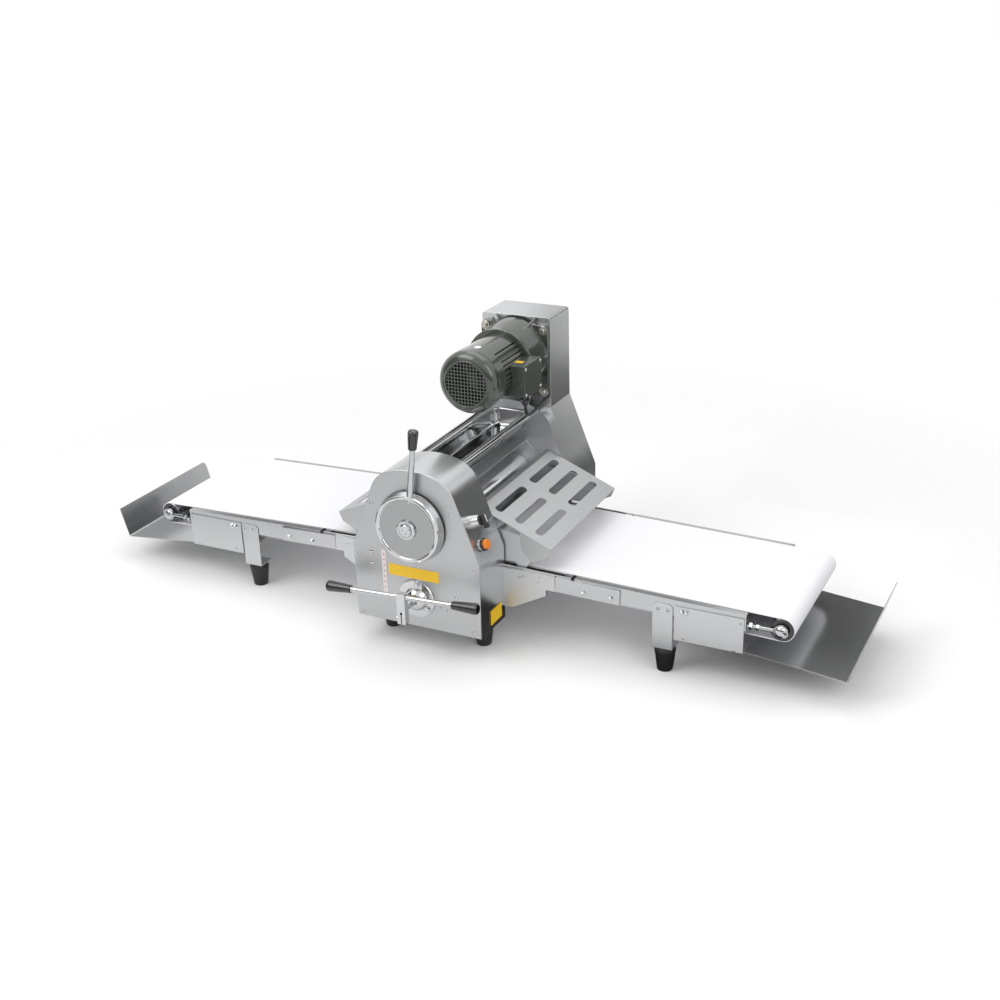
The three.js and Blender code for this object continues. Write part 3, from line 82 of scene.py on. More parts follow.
# The rollers' middle, which every distance front to back is measured from.
MIDDLE = sum(corner.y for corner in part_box("upper_roller")) / 2
FULL_TURN = 2 * math.pi
# Vertices closer than this are one, in metres.
SAME = 0.00001
# Gap that keeps two faces from lying in each other, in millimetres.
HAIR = 0.1
# Distance of the end frames' open ends from the machine's middle, in millimetres.
FRAME_END = 786
# Distance of the flange's middle below the motor's axis, in millimetres.
FLANGE_DROP = 15
# Height of the terminal box over the motor's axis, in millimetres.
LID_RISE = 28
# Place of the terminal box's cable gland from above, in millimetres.
GLAND = (106, 76)


def length(name, description, default):
    """A size in the panel, given in millimetres."""
    return bpy.props.FloatProperty(name=name, description=description, default=default * MM, unit="LENGTH")


def shade(name, description, default):
    """A colour in the panel."""
    return bpy.props.FloatVectorProperty(
        name=name, description=description, default=default, size=3, min=0, max=1, subtype="COLOR")


class HousingSizes(bpy.types.PropertyGroup):
    """Sizes of the casings and what stands on the front one"""

    edge_round: length("Edge rounding", "Rounding of the casings' sheet edges", 0.9)
    dial_x: length("Dial place", "Distance of the dial from the middle plane", -4)
    dial_height: length("Dial height", "Height of the dial's axis above the table", 338)
    dial_radius: length("Dial radius", "Radius of the dial's rim", 86)
    hub_radius: length("Hub radius", "Radius of the dial's chromed hub", 25)
    lever_radius: length("Lever radius", "Radius of the dial's lever at its grip", 6.4)
    handle_height: length("Handle height", "Height of the direction lever's bar", 180)


class TableSizes(bpy.types.PropertyGroup):
    """Sizes of the two conveyor tables"""

    belt_half: length("Belt half width", "Half the width of a conveyor belt", 190.5)
    belt_sheet: length("Belt thickness", "Thickness of the belt cloth", 2)
    drive_x: length("Drive roller place", "Distance of a drive roller from the machine's middle", 95)
    drive_height: length("Drive roller height", "Height of a drive roller's axis", 189)
    drive_radius: length("Drive roller radius", "Radius of a drive roller", 24)
    end_x: length("End roller place", "Distance of an end roller from the machine's middle", 870)
    end_height: length("End roller height", "Height of an end roller's axis", 166)
    end_radius: length("End roller radius", "Radius of an end roller", 27.5)
    pan_reach: length("Pan bend", "Distance of a catch pan's bend from the machine's middle", 1028)
    pan_lip: length("Pan lip", "Height of a catch pan's upper edge", 150)


class MotorSizes(bpy.types.PropertyGroup):
    """Sizes of the gear motor"""

    height: length("Motor height", "Height of the motor's axis", 603)
    cowl_radius: length("Cowl radius", "Radius of the fan cowl", 82)
    cowl_front: length("Cowl front", "Distance of the cowl's front behind the rollers' middle", -46)
    rib_radius: length("Rib radius", "Radius over the cooling ribs", 80)
    grille_pitch: length("Grille pitch", "Distance between the grille's holes", 9)
    grille_bar: length("Grille bar", "Width of a bar between two holes", 2.4)


class Palette(bpy.types.PropertyGroup):
    """Colours of the finishes"""

    sheet: shade("Sheet steel", "Ground stainless sheet", (0.52, 0.525, 0.53))
    polished: shade("Polished steel", "Polished stainless steel", (0.6, 0.605, 0.61))
    chrome: shade("Chrome", "Chromed rods and knobs", (0.54, 0.55, 0.56))
    paint: shade("Motor paint", "Painted castings", (0.036, 0.043, 0.034))
    bolt: shade("Bolts", "Nickelled bolts of the motor", (0.5, 0.48, 0.44))
    cloth: shade("Belt", "White belt cloth", (0.87, 0.87, 0.89))
    label: shade("Label", "Yellow label", (0.8, 0.5, 0.02))
    button: shade("Button", "Orange push button", (0.78, 0.21, 0.01))


GROUPS = {"housing": HousingSizes, "table": TableSizes, "motor": MotorSizes, "palette": Palette}


class Sizes:
    """The scene's sizes of one group, in millimetres."""

    def __init__(self, group):
        self.values = getattr(bpy.context.scene, "sheeter_" + group)

    def __getattr__(self, name):
        return getattr(self.values, name) / MM


class Wire:
    """A number on its way through a material's nodes, used like a number in Python."""

    def __init__(self, tree, socket):
        self.tree, self.socket = tree, socket

    def _math(self, operation, first, second=None):
        node = self.tree.nodes.new("ShaderNodeMath")
        node.operation = operation
        for place, value in enumerate((first, second)):
            if isinstance(value, Wire):
                self.tree.links.new(value.socket, node.inputs[place])
            elif value is not None:
                node.inputs[place].default_value = value
        return Wire(self.tree, node.outputs[0])

    def __add__(self, other):
        return self._math("ADD", self, other)

    def __mul__(self, other):
        return self._math("MULTIPLY", self, other)

    def top(self, other):
        """The larger of two numbers."""
        return self._math("MAXIMUM", self, other)

    def sine(self):
        return self._math("SINE", self)

    __radd__ = __add__
    __rmul__ = __mul__


class Finish:
    """A material with its shader, and one way to add any other node."""

    def __init__(self, name):
        self.material = bpy.data.materials.new(name)
        self.material.use_nodes = True
        self.tree = self.material.node_tree
        self.shader = self.tree.nodes["Principled BSDF"]

    def node(self, kind, settings=None, values=None, output=0):
        """Any node, with its settings made first and then the values or links of its sockets."""
        node = self.tree.nodes.new(kind)
        for key, value in (settings or {}).items():
            setattr(node, key, value)
        for key, value in (values or {}).items():
            self.link(value, node.inputs[key])
        return Wire(self.tree, node.outputs[output])

    def link(self, value, socket):
        if isinstance(value, Wire):
            self.tree.links.new(value.socket, socket)
        else:
            socket.default_value = value

    def set(self, **values):
        """Fills sockets of the shader, with an underscore for each space in a name."""
        for key, value in values.items():
            self.link(value, self.shader.inputs[key.replace("_", " ")])
        return self

    def place(self, stretch=(1, 1, 1)):
        """The place on the object, stretched along each axis."""
        spot = self.node("ShaderNodeTexCoord", output=3)
        return self.node("ShaderNodeMapping", values={"Vector": spot, "Scale": stretch})

    def noise(self, stretch, scale, detail=2.0):
        return self.node(
            "ShaderNodeTexNoise", values={"Vector": self.place(stretch), "Scale": scale, "Detail": detail})

    def bump(self, height, depth, strength=1.0):
        values = {"Height": height, "Distance": depth, "Strength": strength}
        return self.node("ShaderNodeBump", values=values)

    def mix(self, factor, first, second):
        return self.node(
            "ShaderNodeMix", {"data_type": "RGBA"}, {"Factor": factor, 6: first, 7: second}, output=2)


def colour(values):
    """A tint with full alpha, as a socket takes it."""
    return (*values, 1.0)


def scaled(tint, share):
    """A tint made paler or darker."""
    return [c * share for c in tint]


def steel(name, tint, roughness, spread=0.05, grain=(1, 1, 1), depth=0.0, cloud=0.04):
    """Steel with a grain, and clouds of handling that dull it a little."""
    finish = Finish(name)
    clouds = finish.noise((1, 1, 1), 7.0, 3.0)
    streaks = finish.noise(grain, 90.0, 3.0)
    finish.set(Metallic=1.0)
    finish.set(Base_Color=finish.mix(clouds, colour(scaled(tint, 0.96)), colour(tint)))
    finish.set(Roughness=streaks * spread + clouds * cloud + (roughness - spread / 2 - cloud / 2))
    if depth:
        finish.set(Normal=finish.bump(streaks, depth))
    return finish.material


def moulded(name, tint, roughness, scale, depth, coat=0.0):
    """Plastic, rubber or paint with a fine skin."""
    finish = Finish(name)
    skin = finish.noise((1, 1, 1), scale, 2.0)
    clouds = finish.noise((1, 1, 1), 12.0, 2.0)
    paler = [min(1.0, c * 1.12) for c in tint]
    finish.set(Base_Color=finish.mix(clouds, colour(tint), colour(paler)), Coat_Weight=coat)
    finish.set(Roughness=clouds * 0.08 + (roughness - 0.04), Normal=finish.bump(skin, depth))
    return finish.material


def woven(name, tint):
    """Belt cloth: a plain weave with a thin white coating."""
    finish = Finish(name)
    spot = finish.node("ShaderNodeSeparateXYZ", values={"Vector": finish.place()})
    across = Wire(finish.tree, spot.socket.node.outputs["Y"])
    pitch = FULL_TURN / 0.0016
    weave = (spot * pitch).sine() * (across * pitch).sine()
    clouds = finish.noise((1, 3, 1), 5.0)
    finish.set(Base_Color=finish.mix(clouds, colour(scaled(tint, 0.97)), colour(tint)))
    finish.set(Roughness=clouds * 0.1 + 0.6, Normal=finish.bump(weave, 0.00004, 0.6))
    return finish.material


FINISH = {}


def make_finishes(palette):
    """Fills FINISH; the sheet steels have a grain along the tables, or across them on the flanks."""
    sheet, polished = palette.sheet, palette.polished
    along, across, scratch = (0.4, 14, 14), (14, 0.4, 14), 0.0000006
    FINISH.update(
        sheet=steel("sheet_steel", sheet, 0.42, 0.06, along, scratch),
        sheet_side=steel("sheet_steel_side", scaled(sheet, 1.24), 0.27, 0.01, across, 0, 0.01),
        smooth=steel("smooth_steel", sheet, 0.2, 0.02, along, 0, 0.02),
        # A rougher copy of the sheet steel, a quarter paler, for the side plates and the roller hood: the
        # extra paleness is painted light that brightens the shaded hood.
        dull=steel("dull_steel", scaled(sheet, 1.25), 0.46, 0.04, along, scratch),
        # A copy of the sheet steel a fifth paler, for the legs and the end frames: the extra paleness is
        # painted light that brightens their front faces.
        bright=steel("bright_steel", scaled(sheet, 1.2), 0.42, 0.05, along, scratch),
        rolled=steel("roller_steel", scaled(polished, 1.3), 0.13, 0.03),
        polished=steel("polished_steel", polished, 0.1, 0.03),
        spun=steel("spun_steel", scaled(polished, 0.6), 0.27, 0.05, (8, 8, 8), 0.0000004),
        chrome=steel("chrome", palette.chrome, 0.05, 0.02, cloud=0.02),
        machined=steel("machined_steel", (0.34, 0.345, 0.35), 0.4, 0.1, (6, 6, 6), 0.000002),
        rubber=moulded("rubber", (0.012, 0.012, 0.013), 0.5, 900, 0.00004),
        black=moulded("black_plastic", (0.005, 0.005, 0.006), 0.14, 600, 0.000005, 0.6),
        bolt=steel("nickelled_steel", palette.bolt, 0.22, 0.06, (6, 6, 6), 0.000001),
        cast=moulded("cast_paint", palette.paint, 0.28, 260, 0.00005, 1.0),
        orange=moulded("orange_plastic", palette.button, 0.25, 500, 0.00001, 0.4),
        label=moulded("label_film", palette.label, 0.4, 300, 0.00001),
        scale=moulded("scale_film", (0.72, 0.62, 0.62), 0.4, 300, 0.00001),
        mark=moulded("mark_ink", (0.02, 0.02, 0.02), 0.5, 300, 0.00001),
        cloth=woven("belt_cloth", palette.cloth),
    )


NODE_FINISH = {
    "roller": "polished", "lift": "machined", "tray": "polished", "rod": "chrome", "foot": "rubber",
    "belt": "cloth", "dial": "chrome", "lever": "chrome", "grip": "black", "flange": "polished",
    "shaft": "machined", "gearbox": "cast", "motor": "cast", "motor_box": "sheet", "motor_fan": "black",
    "motor_lead": "rubber", "fan_cowl": "cast", "terminal": "cast", "chain": "machined", "knob": "black",
    "button": "orange", "side_plate": "dull", "inner_bed": "sheet", "outer_bed": "sheet",
}


def at(x, y, z):
    """A point given in millimetres from the rollers' middle plane and the table, in the scene."""
    return Vector((x * MM, y * MM + MIDDLE, z * MM))


def bare():
    """Leaves edit mode and deselects everything, so that the next operator acts on nothing else."""
    if bpy.context.object and bpy.context.object.mode == "EDIT":
        bpy.ops.object.mode_set(mode="OBJECT")
    bpy.ops.object.select_all(action="DESELECT")


def hold(obj):
    """Selects one object alone and makes it active."""
    bare()
    obj.select_set(True)
    bpy.context.view_layer.objects.active = obj


def shape(obj, kind="vertices", test=None):
    """Enters edit mode with everything selected, or only what passes a test."""
    hold(obj)
    bpy.ops.object.mode_set(mode="EDIT")
    bpy.ops.mesh.select_mode(type={"vertices": "VERT", "edges": "EDGE", "polygons": "FACE"}[kind])
    bpy.ops.mesh.select_all(action="DESELECT" if test else "SELECT")
    if test:
        bpy.ops.object.mode_set(mode="OBJECT")
        for item in getattr(obj.data, kind):
            item.select = bool(test(item))
        bpy.ops.object.mode_set(mode="EDIT")


def tidy(obj):
    """Merges doubles and turns the faces outwards."""
    shape(obj)
    bpy.ops.mesh.remove_doubles(threshold=SAME)
    bpy.ops.mesh.normals_make_consistent(inside=False)
    bare()
    return obj


def draw(points, closed=False):
    """A chain of edges from corner to corner; a closed one is filled."""
    bare()
    bpy.ops.mesh.primitive_plane_add(size=MM, location=points[0])
    obj = bpy.context.object
    bpy.ops.object.transform_apply(location=True)
    bpy.ops.object.mode_set(mode="EDIT")
    bpy.ops.mesh.select_all(action="SELECT")
    bpy.ops.mesh.merge(type="CENTER")
    for before, after in zip(points, points[1:]):
        bpy.ops.mesh.extrude_region_move(TRANSFORM_OT_translate={"value": after - before})
    if closed:
        bpy.ops.mesh.select_all(action="SELECT")
        bpy.ops.mesh.edge_face_add()
    bare()
    return obj


def push(obj, along):
    """Extrudes the whole of a flat outline or line."""
    shape(obj)
    bpy.ops.mesh.extrude_region_move(TRANSFORM_OT_translate={"value": along})
    return tidy(obj)


def plate(points, along):
    """A solid with a flat outline."""
    return push(draw(points, closed=True), along)


def modify(obj, kind, **settings):
    """Adds a modifier and applies it."""
    hold(obj)
    bpy.ops.object.modifier_add(type=kind)
    modifier = obj.modifiers[-1]
    for key, value in settings.items():
        setattr(modifier, key, value)
    bpy.ops.object.modifier_apply(modifier=modifier.name)
    return obj


def softened(obj, width, segments=2, angle=30):
    """Rounds every edge that is sharper than an angle."""
    return modify(
        obj, "BEVEL", width=width * MM, segments=segments, limit_method="ANGLE",
        angle_limit=math.radians(angle), miter_outer="MITER_ARC", use_clamp_overlap=True)


def face_up(obj):
    """Turns an open sheet so that its highest face looks upwards."""
    if max(obj.data.polygons, key=lambda face: face.center.z).normal.z < 0:
        shape(obj, "polygons")
        bpy.ops.mesh.flip_normals()
        bare()
    return obj


def strip(points, along, sheet, loop=False):
    """Sheet bent along a line of points, which is its upper side."""
    obj = draw(points, closed=loop)
    if loop:
        shape(obj, "polygons")
        bpy.ops.mesh.delete(type="ONLY_FACE")
        bare()
    face_up(push(obj, along))
    return modify(obj, "SOLIDIFY", thickness=sheet * MM, offset=-1, use_even_offset=True)


def turned(profile, foot=(0, 0, 0), direction=(0, -1, 0), sides=64):
    """A profile of radius and distance along a line, spun about that line."""
    foot, direction = at(*foot), Vector(direction).normalized()
    arm = direction.orthogonal().normalized()
    obj = draw([foot + arm * (r * MM) + direction * (along * MM) for r, along in profile])
    shape(obj)
    bpy.ops.mesh.spin(steps=sides, angle=FULL_TURN, center=foot, axis=direction)
    return tidy(obj)


def block(low, high, soft=0.0, segments=2):
    """A box from corner to corner, with round edges where a width is given."""
    low, high = at(*low), at(*high)
    bare()
    bpy.ops.mesh.primitive_cube_add(size=1, location=(low + high) / 2, scale=high - low)
    obj = bpy.context.object
    bpy.ops.object.transform_apply(location=True, rotation=True, scale=True)
    return softened(obj, soft, segments) if soft else obj


def joined(*parts):
    """Several objects made into the first."""
    hold(parts[0])
    for part in parts[1:]:
        part.select_set(True)
    if len(parts) > 1:
        bpy.ops.object.join()
    return parts[0]


def cut(obj, *tools, operation="DIFFERENCE"):
    """Cuts tools from an object, or adds them to it, and removes them."""
    tool = joined(*tools)
    modify(obj, "BOOLEAN", object=tool, operation=operation, solver="EXACT")
    hold(tool)
    bpy.ops.object.delete()
    return obj


def moved(obj, matrix):
    """Moves an object and writes its new place into its mesh."""
    hold(obj)
    obj.matrix_world = matrix @ obj.matrix_world
    bpy.ops.object.transform_apply(location=True, rotation=True, scale=True)
    return obj


def twin(obj, matrix=None):
    """A copy with its own mesh."""
    hold(obj)
    bpy.ops.object.duplicate(linked=False)
    copy = bpy.context.object
    return moved(copy, matrix) if matrix else copy


def flipped(obj, axis):
    """A copy mirrored about the machine's middle, left to right or front to back."""
    copy = twin(obj)
    value = [1, 1, 1]
    value["XYZ".index(axis)] = -1
    shape(copy)
    bpy.ops.transform.resize(value=value, center_override=(0, MIDDLE, 0))
    return tidy(copy)


def settle(obj, name, finish, body="frame", nodes=(), smooth=32):
    """Names a finished piece, shades it, and hands it to the body that it rides on."""
    hold(obj)
    obj.name = obj.data.name = name
    bpy.ops.object.shade_smooth_by_angle(angle=math.radians(smooth))
    modify(obj, "WEIGHTED_NORMAL", keep_sharp=True)
    obj.data.materials.clear()
    obj.data.materials.append(FINISH[finish])
    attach(obj, body)
    if nodes:
        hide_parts(*nodes)
    return obj


def both_sides(obj, name, finish, node=None, body="frame"):
    """Settles a right-hand piece and its mirror image on the left."""
    left = flipped(obj, "X")
    for piece, side in ((obj, "right"), (left, "left")):
        nodes = (f"{node}_{side}",) if node else ()
        settle(piece, f"{name}_{side}", finish, f"{body}_{side}" if body != "frame" else body, nodes)
    return obj, left


def cad_copy(node):
    """A CAD solid's mesh as a piece of its own, with its flat faces whole again."""
    hold(frame["nodes"][node])
    bpy.ops.object.duplicate(linked=False)
    copy = bpy.context.object
    bpy.ops.object.parent_clear(type="CLEAR_KEEP_TRANSFORM")
    for key in [key for key in copy.keys() if key.startswith("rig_")]:
        del copy[key]
    shape(copy)
    bpy.ops.mesh.remove_doubles(threshold=SAME)
    bpy.ops.mesh.dissolve_limited(angle_limit=math.radians(1))
    bare()
    return copy


def carried(node, name, finish, soft=0.8, segments=2):
    """A CAD solid with its edges rounded."""
    body = body_of(frame["nodes"][node])
    body = body if isinstance(body, str) else body[0]
    return settle(softened(cad_copy(node), soft, segments), name, finish, body, (node,))


def behind(node, y):
    """What a CAD solid has behind a plane, closed at the cut."""
    copy = cad_copy(node)
    shape(copy)
    bpy.ops.mesh.bisect(plane_co=at(0, y, 0), plane_no=(0, -1, 0), use_fill=True, clear_outer=True)
    bare()
    return copy


def arc(x, z, radius, start, end, steps=8):
    """Points of an arc, with its angles in degrees."""
    turns = [math.radians(start + (end - start) * i / steps) for i in range(steps + 1)]
    return [(x + radius * math.cos(a), z + radius * math.sin(a)) for a in turns]


def bent(points, radius, steps=4):
    """A line of corners with each inner corner rounded."""
    corners = [Vector(p) for p in points]
    line = [corners[0]]
    for before, corner, after in zip(corners, corners[1:], corners[2:]):
        back, ahead = (before - corner).normalized(), (after - corner).normalized()
        half = back.angle(ahead) / 2
        reach = radius / math.tan(half)
        middle = corner + (back + ahead).normalized() * (radius / math.sin(half))
        first, last = corner + back * reach - middle, corner + ahead * reach - middle
        for i in range(steps + 1):
            line.append(middle + first.slerp(last, i / steps).normalized() * radius)
    return [tuple(p) for p in (*line, corners[-1])]


def flat_y(points, y):
    """Points of an outline that stands across the rollers."""
    return [at(x, y, z) for x, z in points]


def rounded_rectangle(half_x, half_y, corner, steps=6):
    """Outline of a rounded rectangle round the origin."""
    points = []
    for sx, sy, turn in ((1, 1, 0), (-1, 1, 90), (-1, -1, 180), (1, -1, 270)):
        points += arc(sx * (half_x - corner), sy * (half_y - corner), corner, turn, turn + 90, steps)
    return points


def rimmed(radius, low, high, soft):
    """Profile of a disc or rod with a small chamfer at both rims."""
    return [(0, low), (radius - soft, low), (radius, low + soft),
            (radius, high - soft), (radius - soft, high), (0, high)]


class SHEETER_OT_finishes(bpy.types.Operator):
    """Makes the finishes and gives every CAD node one"""

    bl_idname = "sheeter.finishes"
    bl_label = "Finishes"

    def execute(self, context):
        make_finishes(context.scene.sheeter_palette)
        for name, obj in frame["nodes"].items():
            pick = "sheet"
            for key, value in NODE_FINISH.items():
                if key in name:
                    pick = value
            obj.data.materials.clear()
            obj.data.materials.append(FINISH[pick])
        return {"FINISHED"}


class SHEETER_OT_lead(bpy.types.Operator):
    """Lead from the terminal box into the motor box"""

    bl_idname = "sheeter.lead"
    bl_label = "Motor lead"

    def execute(self, context):
        low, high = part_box("motor_lead")
        start, end = at(*GLAND, 526.5), at(88, 248.8, 485)
        run = end - start
        route_shares = (
            (0, 0, 0), (0, 0, 0.157), (0, 0.009, 0.398), (0, 0.035, 0.639), (0.028, 0.093, 0.831),
            (0.083, 0.185, 0.94), (0.222, 0.324, 1), (0.444, 0.486, 1.024), (0.667, 0.66, 1.024),
            (0.889, 0.822, 1.012), (1, 0.926, 1), (1, 1, 1),
        )
        knots = [Vector(share) * run + start for share in route_shares]
        # A smooth curve through every knot.
        points, steps = [], 3
        for i in range(len(knots) - 1):
            before, here, ahead = knots[max(i - 1, 0)], knots[i], knots[i + 1]
            after = knots[min(i + 2, len(knots) - 1)]
            for step in range(steps):
                t = step / steps
                points.append(0.5 * (
                    2 * here + (ahead - before) * t + (2 * before - 5 * here + 4 * ahead - after) * t * t
                    + (3 * here - before - 3 * ahead + after) * t ** 3))
        points.append(knots[-1])
        curve = bpy.data.curves.new("motor_lead_cable", "CURVE")
        curve.dimensions = "3D"
        curve.bevel_depth = (high.x - low.x - abs(run.x)) / 2
        curve.bevel_resolution = 4
        spline = curve.splines.new("POLY")
        spline.points.add(len(points) - 1)
        for knot, point in zip(spline.points, points):
            knot.co = (*point, 1)
        curve.materials.append(FINISH["rubber"])
        cable = bpy.data.objects.new("motor_lead_cable", curve)
        context.scene.collection.objects.link(cable)
        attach(cable, "frame")
        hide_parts("motor_lead")
        reach = sum((b - a).length for a, b in zip(points, points[1:]))
        2 * curve.bevel_depth
        return {"FINISHED"}


class SHEETER_OT_housings(bpy.types.Operator):
    """Front plate, casings, side plates and motor box"""

    bl_idname = "sheeter.housings"
    bl_label = "Housings"

    def execute(self, context):
        panel, face = cad_copy("front_plate"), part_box("front_plate")[0].y
        shape(panel, "edges", lambda edge: all(
            abs(panel.data.vertices[i].co.y - face) < 0.1 * MM for i in edge.vertices))
        bpy.ops.mesh.bevel(offset=2.5 * MM, segments=4)
        bare()
        settle(panel, "plate_front", "sheet", nodes=("front_plate",))
        for node, name, finish, soft, segments in (
            ("front_cover", "cover_front", "sheet_side", 1.4, 3),
            ("rear_cover", "cover_rear", "sheet_side", Sizes("housing").edge_round, 2),
            ("motor_box", "casing_motor", "sheet_side", 4.5, 4),
            ("front_side_plate", "plate_front_side", "dull", 0.6, 2),
            ("rear_side_plate", "plate_rear_side", "dull", 0.6, 2),
            ("roller_hood", "hood_roller", "dull", 0.7, 2),
        ):
            carried(node, name, finish, soft, segments)
        return {"FINISHED"}


class SHEETER_OT_dial(bpy.types.Operator):
    """Thickness dial with its hub, lever and grip"""

    bl_idname = "sheeter.dial"
    bl_label = "Thickness dial"

    def execute(self, context):
        size = Sizes("housing")
        self.disc(size)
        self.lever(size)
        return {"FINISHED"}

    def disc(self, size):
        """Stepped disc with its spun face and chromed hub."""
        foot = (size.dial_x, 0, size.dial_height)
        rim, hub, back, face = size.dial_radius, size.hub_radius, 345, 365
        shaft = behind("thickness_dial", HAIR - back)
        settle(softened(shaft, 0.3), "dial_shaft", "machined", "thickness_dial")
        disc = turned([
            (0, back), (rim + 4.4, back), (rim + 5, back + 0.6), (rim + 5, back + 4), (rim + 4.2, back + 6),
            (rim + 1.2, face - 3), (rim + 0.4, face), (rim - 1.2, face + 2.2), (rim - 3.4, face + 3),
            (rim - 6.6, face + 2.8), (rim - 8.6, face + 1.8), (rim - 9.8, face + 0.4), (rim - 10.6, face),
            (0, face),
        ], foot, sides=96)
        settle(disc, "dial_disc", "polished", "thickness_dial", ("thickness_dial",), 22)
        edge, top = rim - 11, face + 0.5
        skin = turned([(0, face + HAIR), (edge, face + HAIR), (edge - 0.4, top), (0, top)], foot, sides=96)
        settle(skin, "dial_face", "spun", "thickness_dial")
        knob = turned([
            (0, 365.6), (hub, 365.6), (hub, 370), (hub - 0.8, 371.2), (hub - 3, 371.8), (hub - 6, 371.8),
            (hub - 6.6, 371), (hub - 8, 371), (hub - 8.6, 372), (hub - 9, 374.4), (hub - 11, 375.8),
            (8, 376), (7.4, 375), (5.6, 375), (5, 375.6), (0, 375.9),
        ], foot, sides=64)
        settle(knob, "dial_hub", "chrome", "thickness_dial", smooth=26)

    def lever(self, size):
        """Radial lever, which leans to the right, with its grip."""
        lean = math.radians(6.5)
        line = (math.sin(lean), 0, math.cos(lean))
        root = (size.dial_x, -357, size.dial_height)
        r, mouth = size.lever_radius, 207
        rod = turned([
            (0, 70), (r + 2.6, 70), (r + 2.6, 100), (r + 2, 112), (r + 1, 150), (r, 190), (r, mouth),
            (r - 1.4, mouth), (r - 1.4, mouth + 23), (0, mouth + 23),
        ], root, line, 40)
        settle(rod, "dial_lever", "chrome", "thickness_dial")
        bore, floor = r - 1.1, mouth + 24
        grip = turned([
            (bore, floor), (bore, 207.4), (9.4, 207.4), (10.3, 208.6), (10.6, 212), (11.8, 230), (12.8, 244),
            (13, 249), (12.4, 252.6), (10.4, 255.4), (6.5, 256.8), (0, 257), (0, floor), (bore, floor),
        ], root, line, 40)
        settle(grip, "dial_grip", "black", "thickness_dial", ("thickness_grip",), 26)


class SHEETER_OT_direction(bpy.types.Operator):
    """Direction lever with its flange, clamp, bar and grips"""

    bl_idname = "sheeter.direction"
    bl_label = "Direction lever"

    def execute(self, context):
        x, z, bar_y, bore, back = -1, 144, -411, 9.5, 340.3
        foot = (x, 0, z)
        flange = turned([
            (bore, back), (49.4, back), (50, 341), (50, 343.6), (49.2, 344.8), (46.6, 345.4), (32, 345.6),
            (30.6, 346.2), (29.6, 348), (27.4, 352.6), (24.4, 356.4), (20.4, 359.6), (16, 361.8),
            (12.4, 363), (bore, 363.2), (bore, back),
        ], foot, sides=72)
        settle(flange, "lever_flange", "polished", nodes=("direction_flange",), smooth=24)
        cam = behind("direction_lever", -344.6)
        settle(softened(cam, 0.3), "lever_cam", "machined", "direction_lever")
        shaft = turned([(0, 401.4), (8.6, 401.4), (8.6, 345), (0, 345)], foot, sides=32)
        settle(shaft, "lever_shaft", "chrome", "direction_lever", ("direction_lever",))
        clamp = block((x - 11.5, -420, 110), (x + 11.5, -402, 190))
        slit = block((x - 1.2, -424, 100), (x + 1.2, -398, 137))
        eye = turned([(0, 398), (3.4, 398), (3.4, 424), (0, 424)], (x, 0, 139), sides=24)
        cut(clamp, slit)
        settle(softened(cut(clamp, eye), 1.2, 3), "lever_clamp", "polished", "direction_lever")
        screw = turned([
            (0, HAIR), (5.6, HAIR), (6.2, 0.7), (6.2, 4.6), (5.6, 5.2), (3.4, 5.2), (3.4, 2.6), (0, 2.6),
        ], (x - 11.5, bar_y, 121), (-1, 0, 0), 28)
        settle(screw, "lever_clamp_screw", "chrome", "direction_lever", smooth=26)
        middle = (x, bar_y, Sizes("housing").handle_height)
        for side, reach, name in ((1, 207, "right"), (-1, 212, "left")):
            self.arm(middle, side, reach, name)
        return {"FINISHED"}

    def arm(self, middle, side, reach, name):
        """One half of the bar with its grip, tilted up to the right."""
        tilt = math.radians(2.6)
        line = (side * math.cos(tilt), 0, side * math.sin(tilt))
        inner = reach - 69
        rod = turned([
            (0, 11), (6.4, 11), (6.4, inner - 5), (7.6, inner - 4.4), (7.6, inner - 1), (6, inner - 0.6),
            (6, inner + 32), (0, inner + 32),
        ], middle, line, 36)
        settle(rod, f"lever_bar_{name}", "chrome", "direction_lever")
        bore, floor = 6.2, inner + 33
        grip = turned([
            (bore, floor), (bore, inner), (9.4, inner), (10.2, inner + 0.8), (10.6, inner + 4),
            (12.4, inner + 30), (14, inner + 54), (14.4, inner + 61), (13.6, inner + 65.4),
            (11, inner + 68.2), (7, inner + 68.9), (0, inner + 69), (0, floor), (bore, floor),
        ], middle, line, 40)
        settle(grip, f"lever_grip_{name}", "black", "direction_lever", (f"direction_grip_{name}",), 26)


class SHEETER_OT_rollers(bpy.types.Operator):
    """Sheeting rollers and the rods over them"""

    bl_idname = "sheeter.rollers"
    bl_label = "Rollers"

    def execute(self, context):
        r, half, journal, soft = 58, 203, 12, 3
        barrel = [
            (r - soft, -half), (r, soft - half), (r, 0), (r, half - soft), (r - soft, half), (journal, half),
        ]
        upper = turned([
            (0, -238), (journal, -238), *barrel, (journal, 238), (0, 238),
        ], (0, 0, 279), (0, 1, 0), 96)
        settle(upper, "roller_upper", "rolled", "upper_roller", ("upper_roller",))
        end = 212
        lower = turned([
            (0, -226.5), (journal, -226.5), *barrel, (journal, end), (0, end),
        ], (0, 0, 156), (0, 1, 0), 96)
        drive = behind("lower_roller", end + 0.3)
        settle(softened(drive, 0.3), "roller_lower_drive", "machined", "lower_roller")
        settle(lower, "roller_lower", "rolled", "lower_roller", ("lower_roller",))
        rod = turned(rimmed(7, -207.7, 207.7, 1), (67, 0, 454), (0, 1, 0), 48)
        both_sides(rod, "rod_upper", "rolled", "upper_rod")
        return {"FINISHED"}


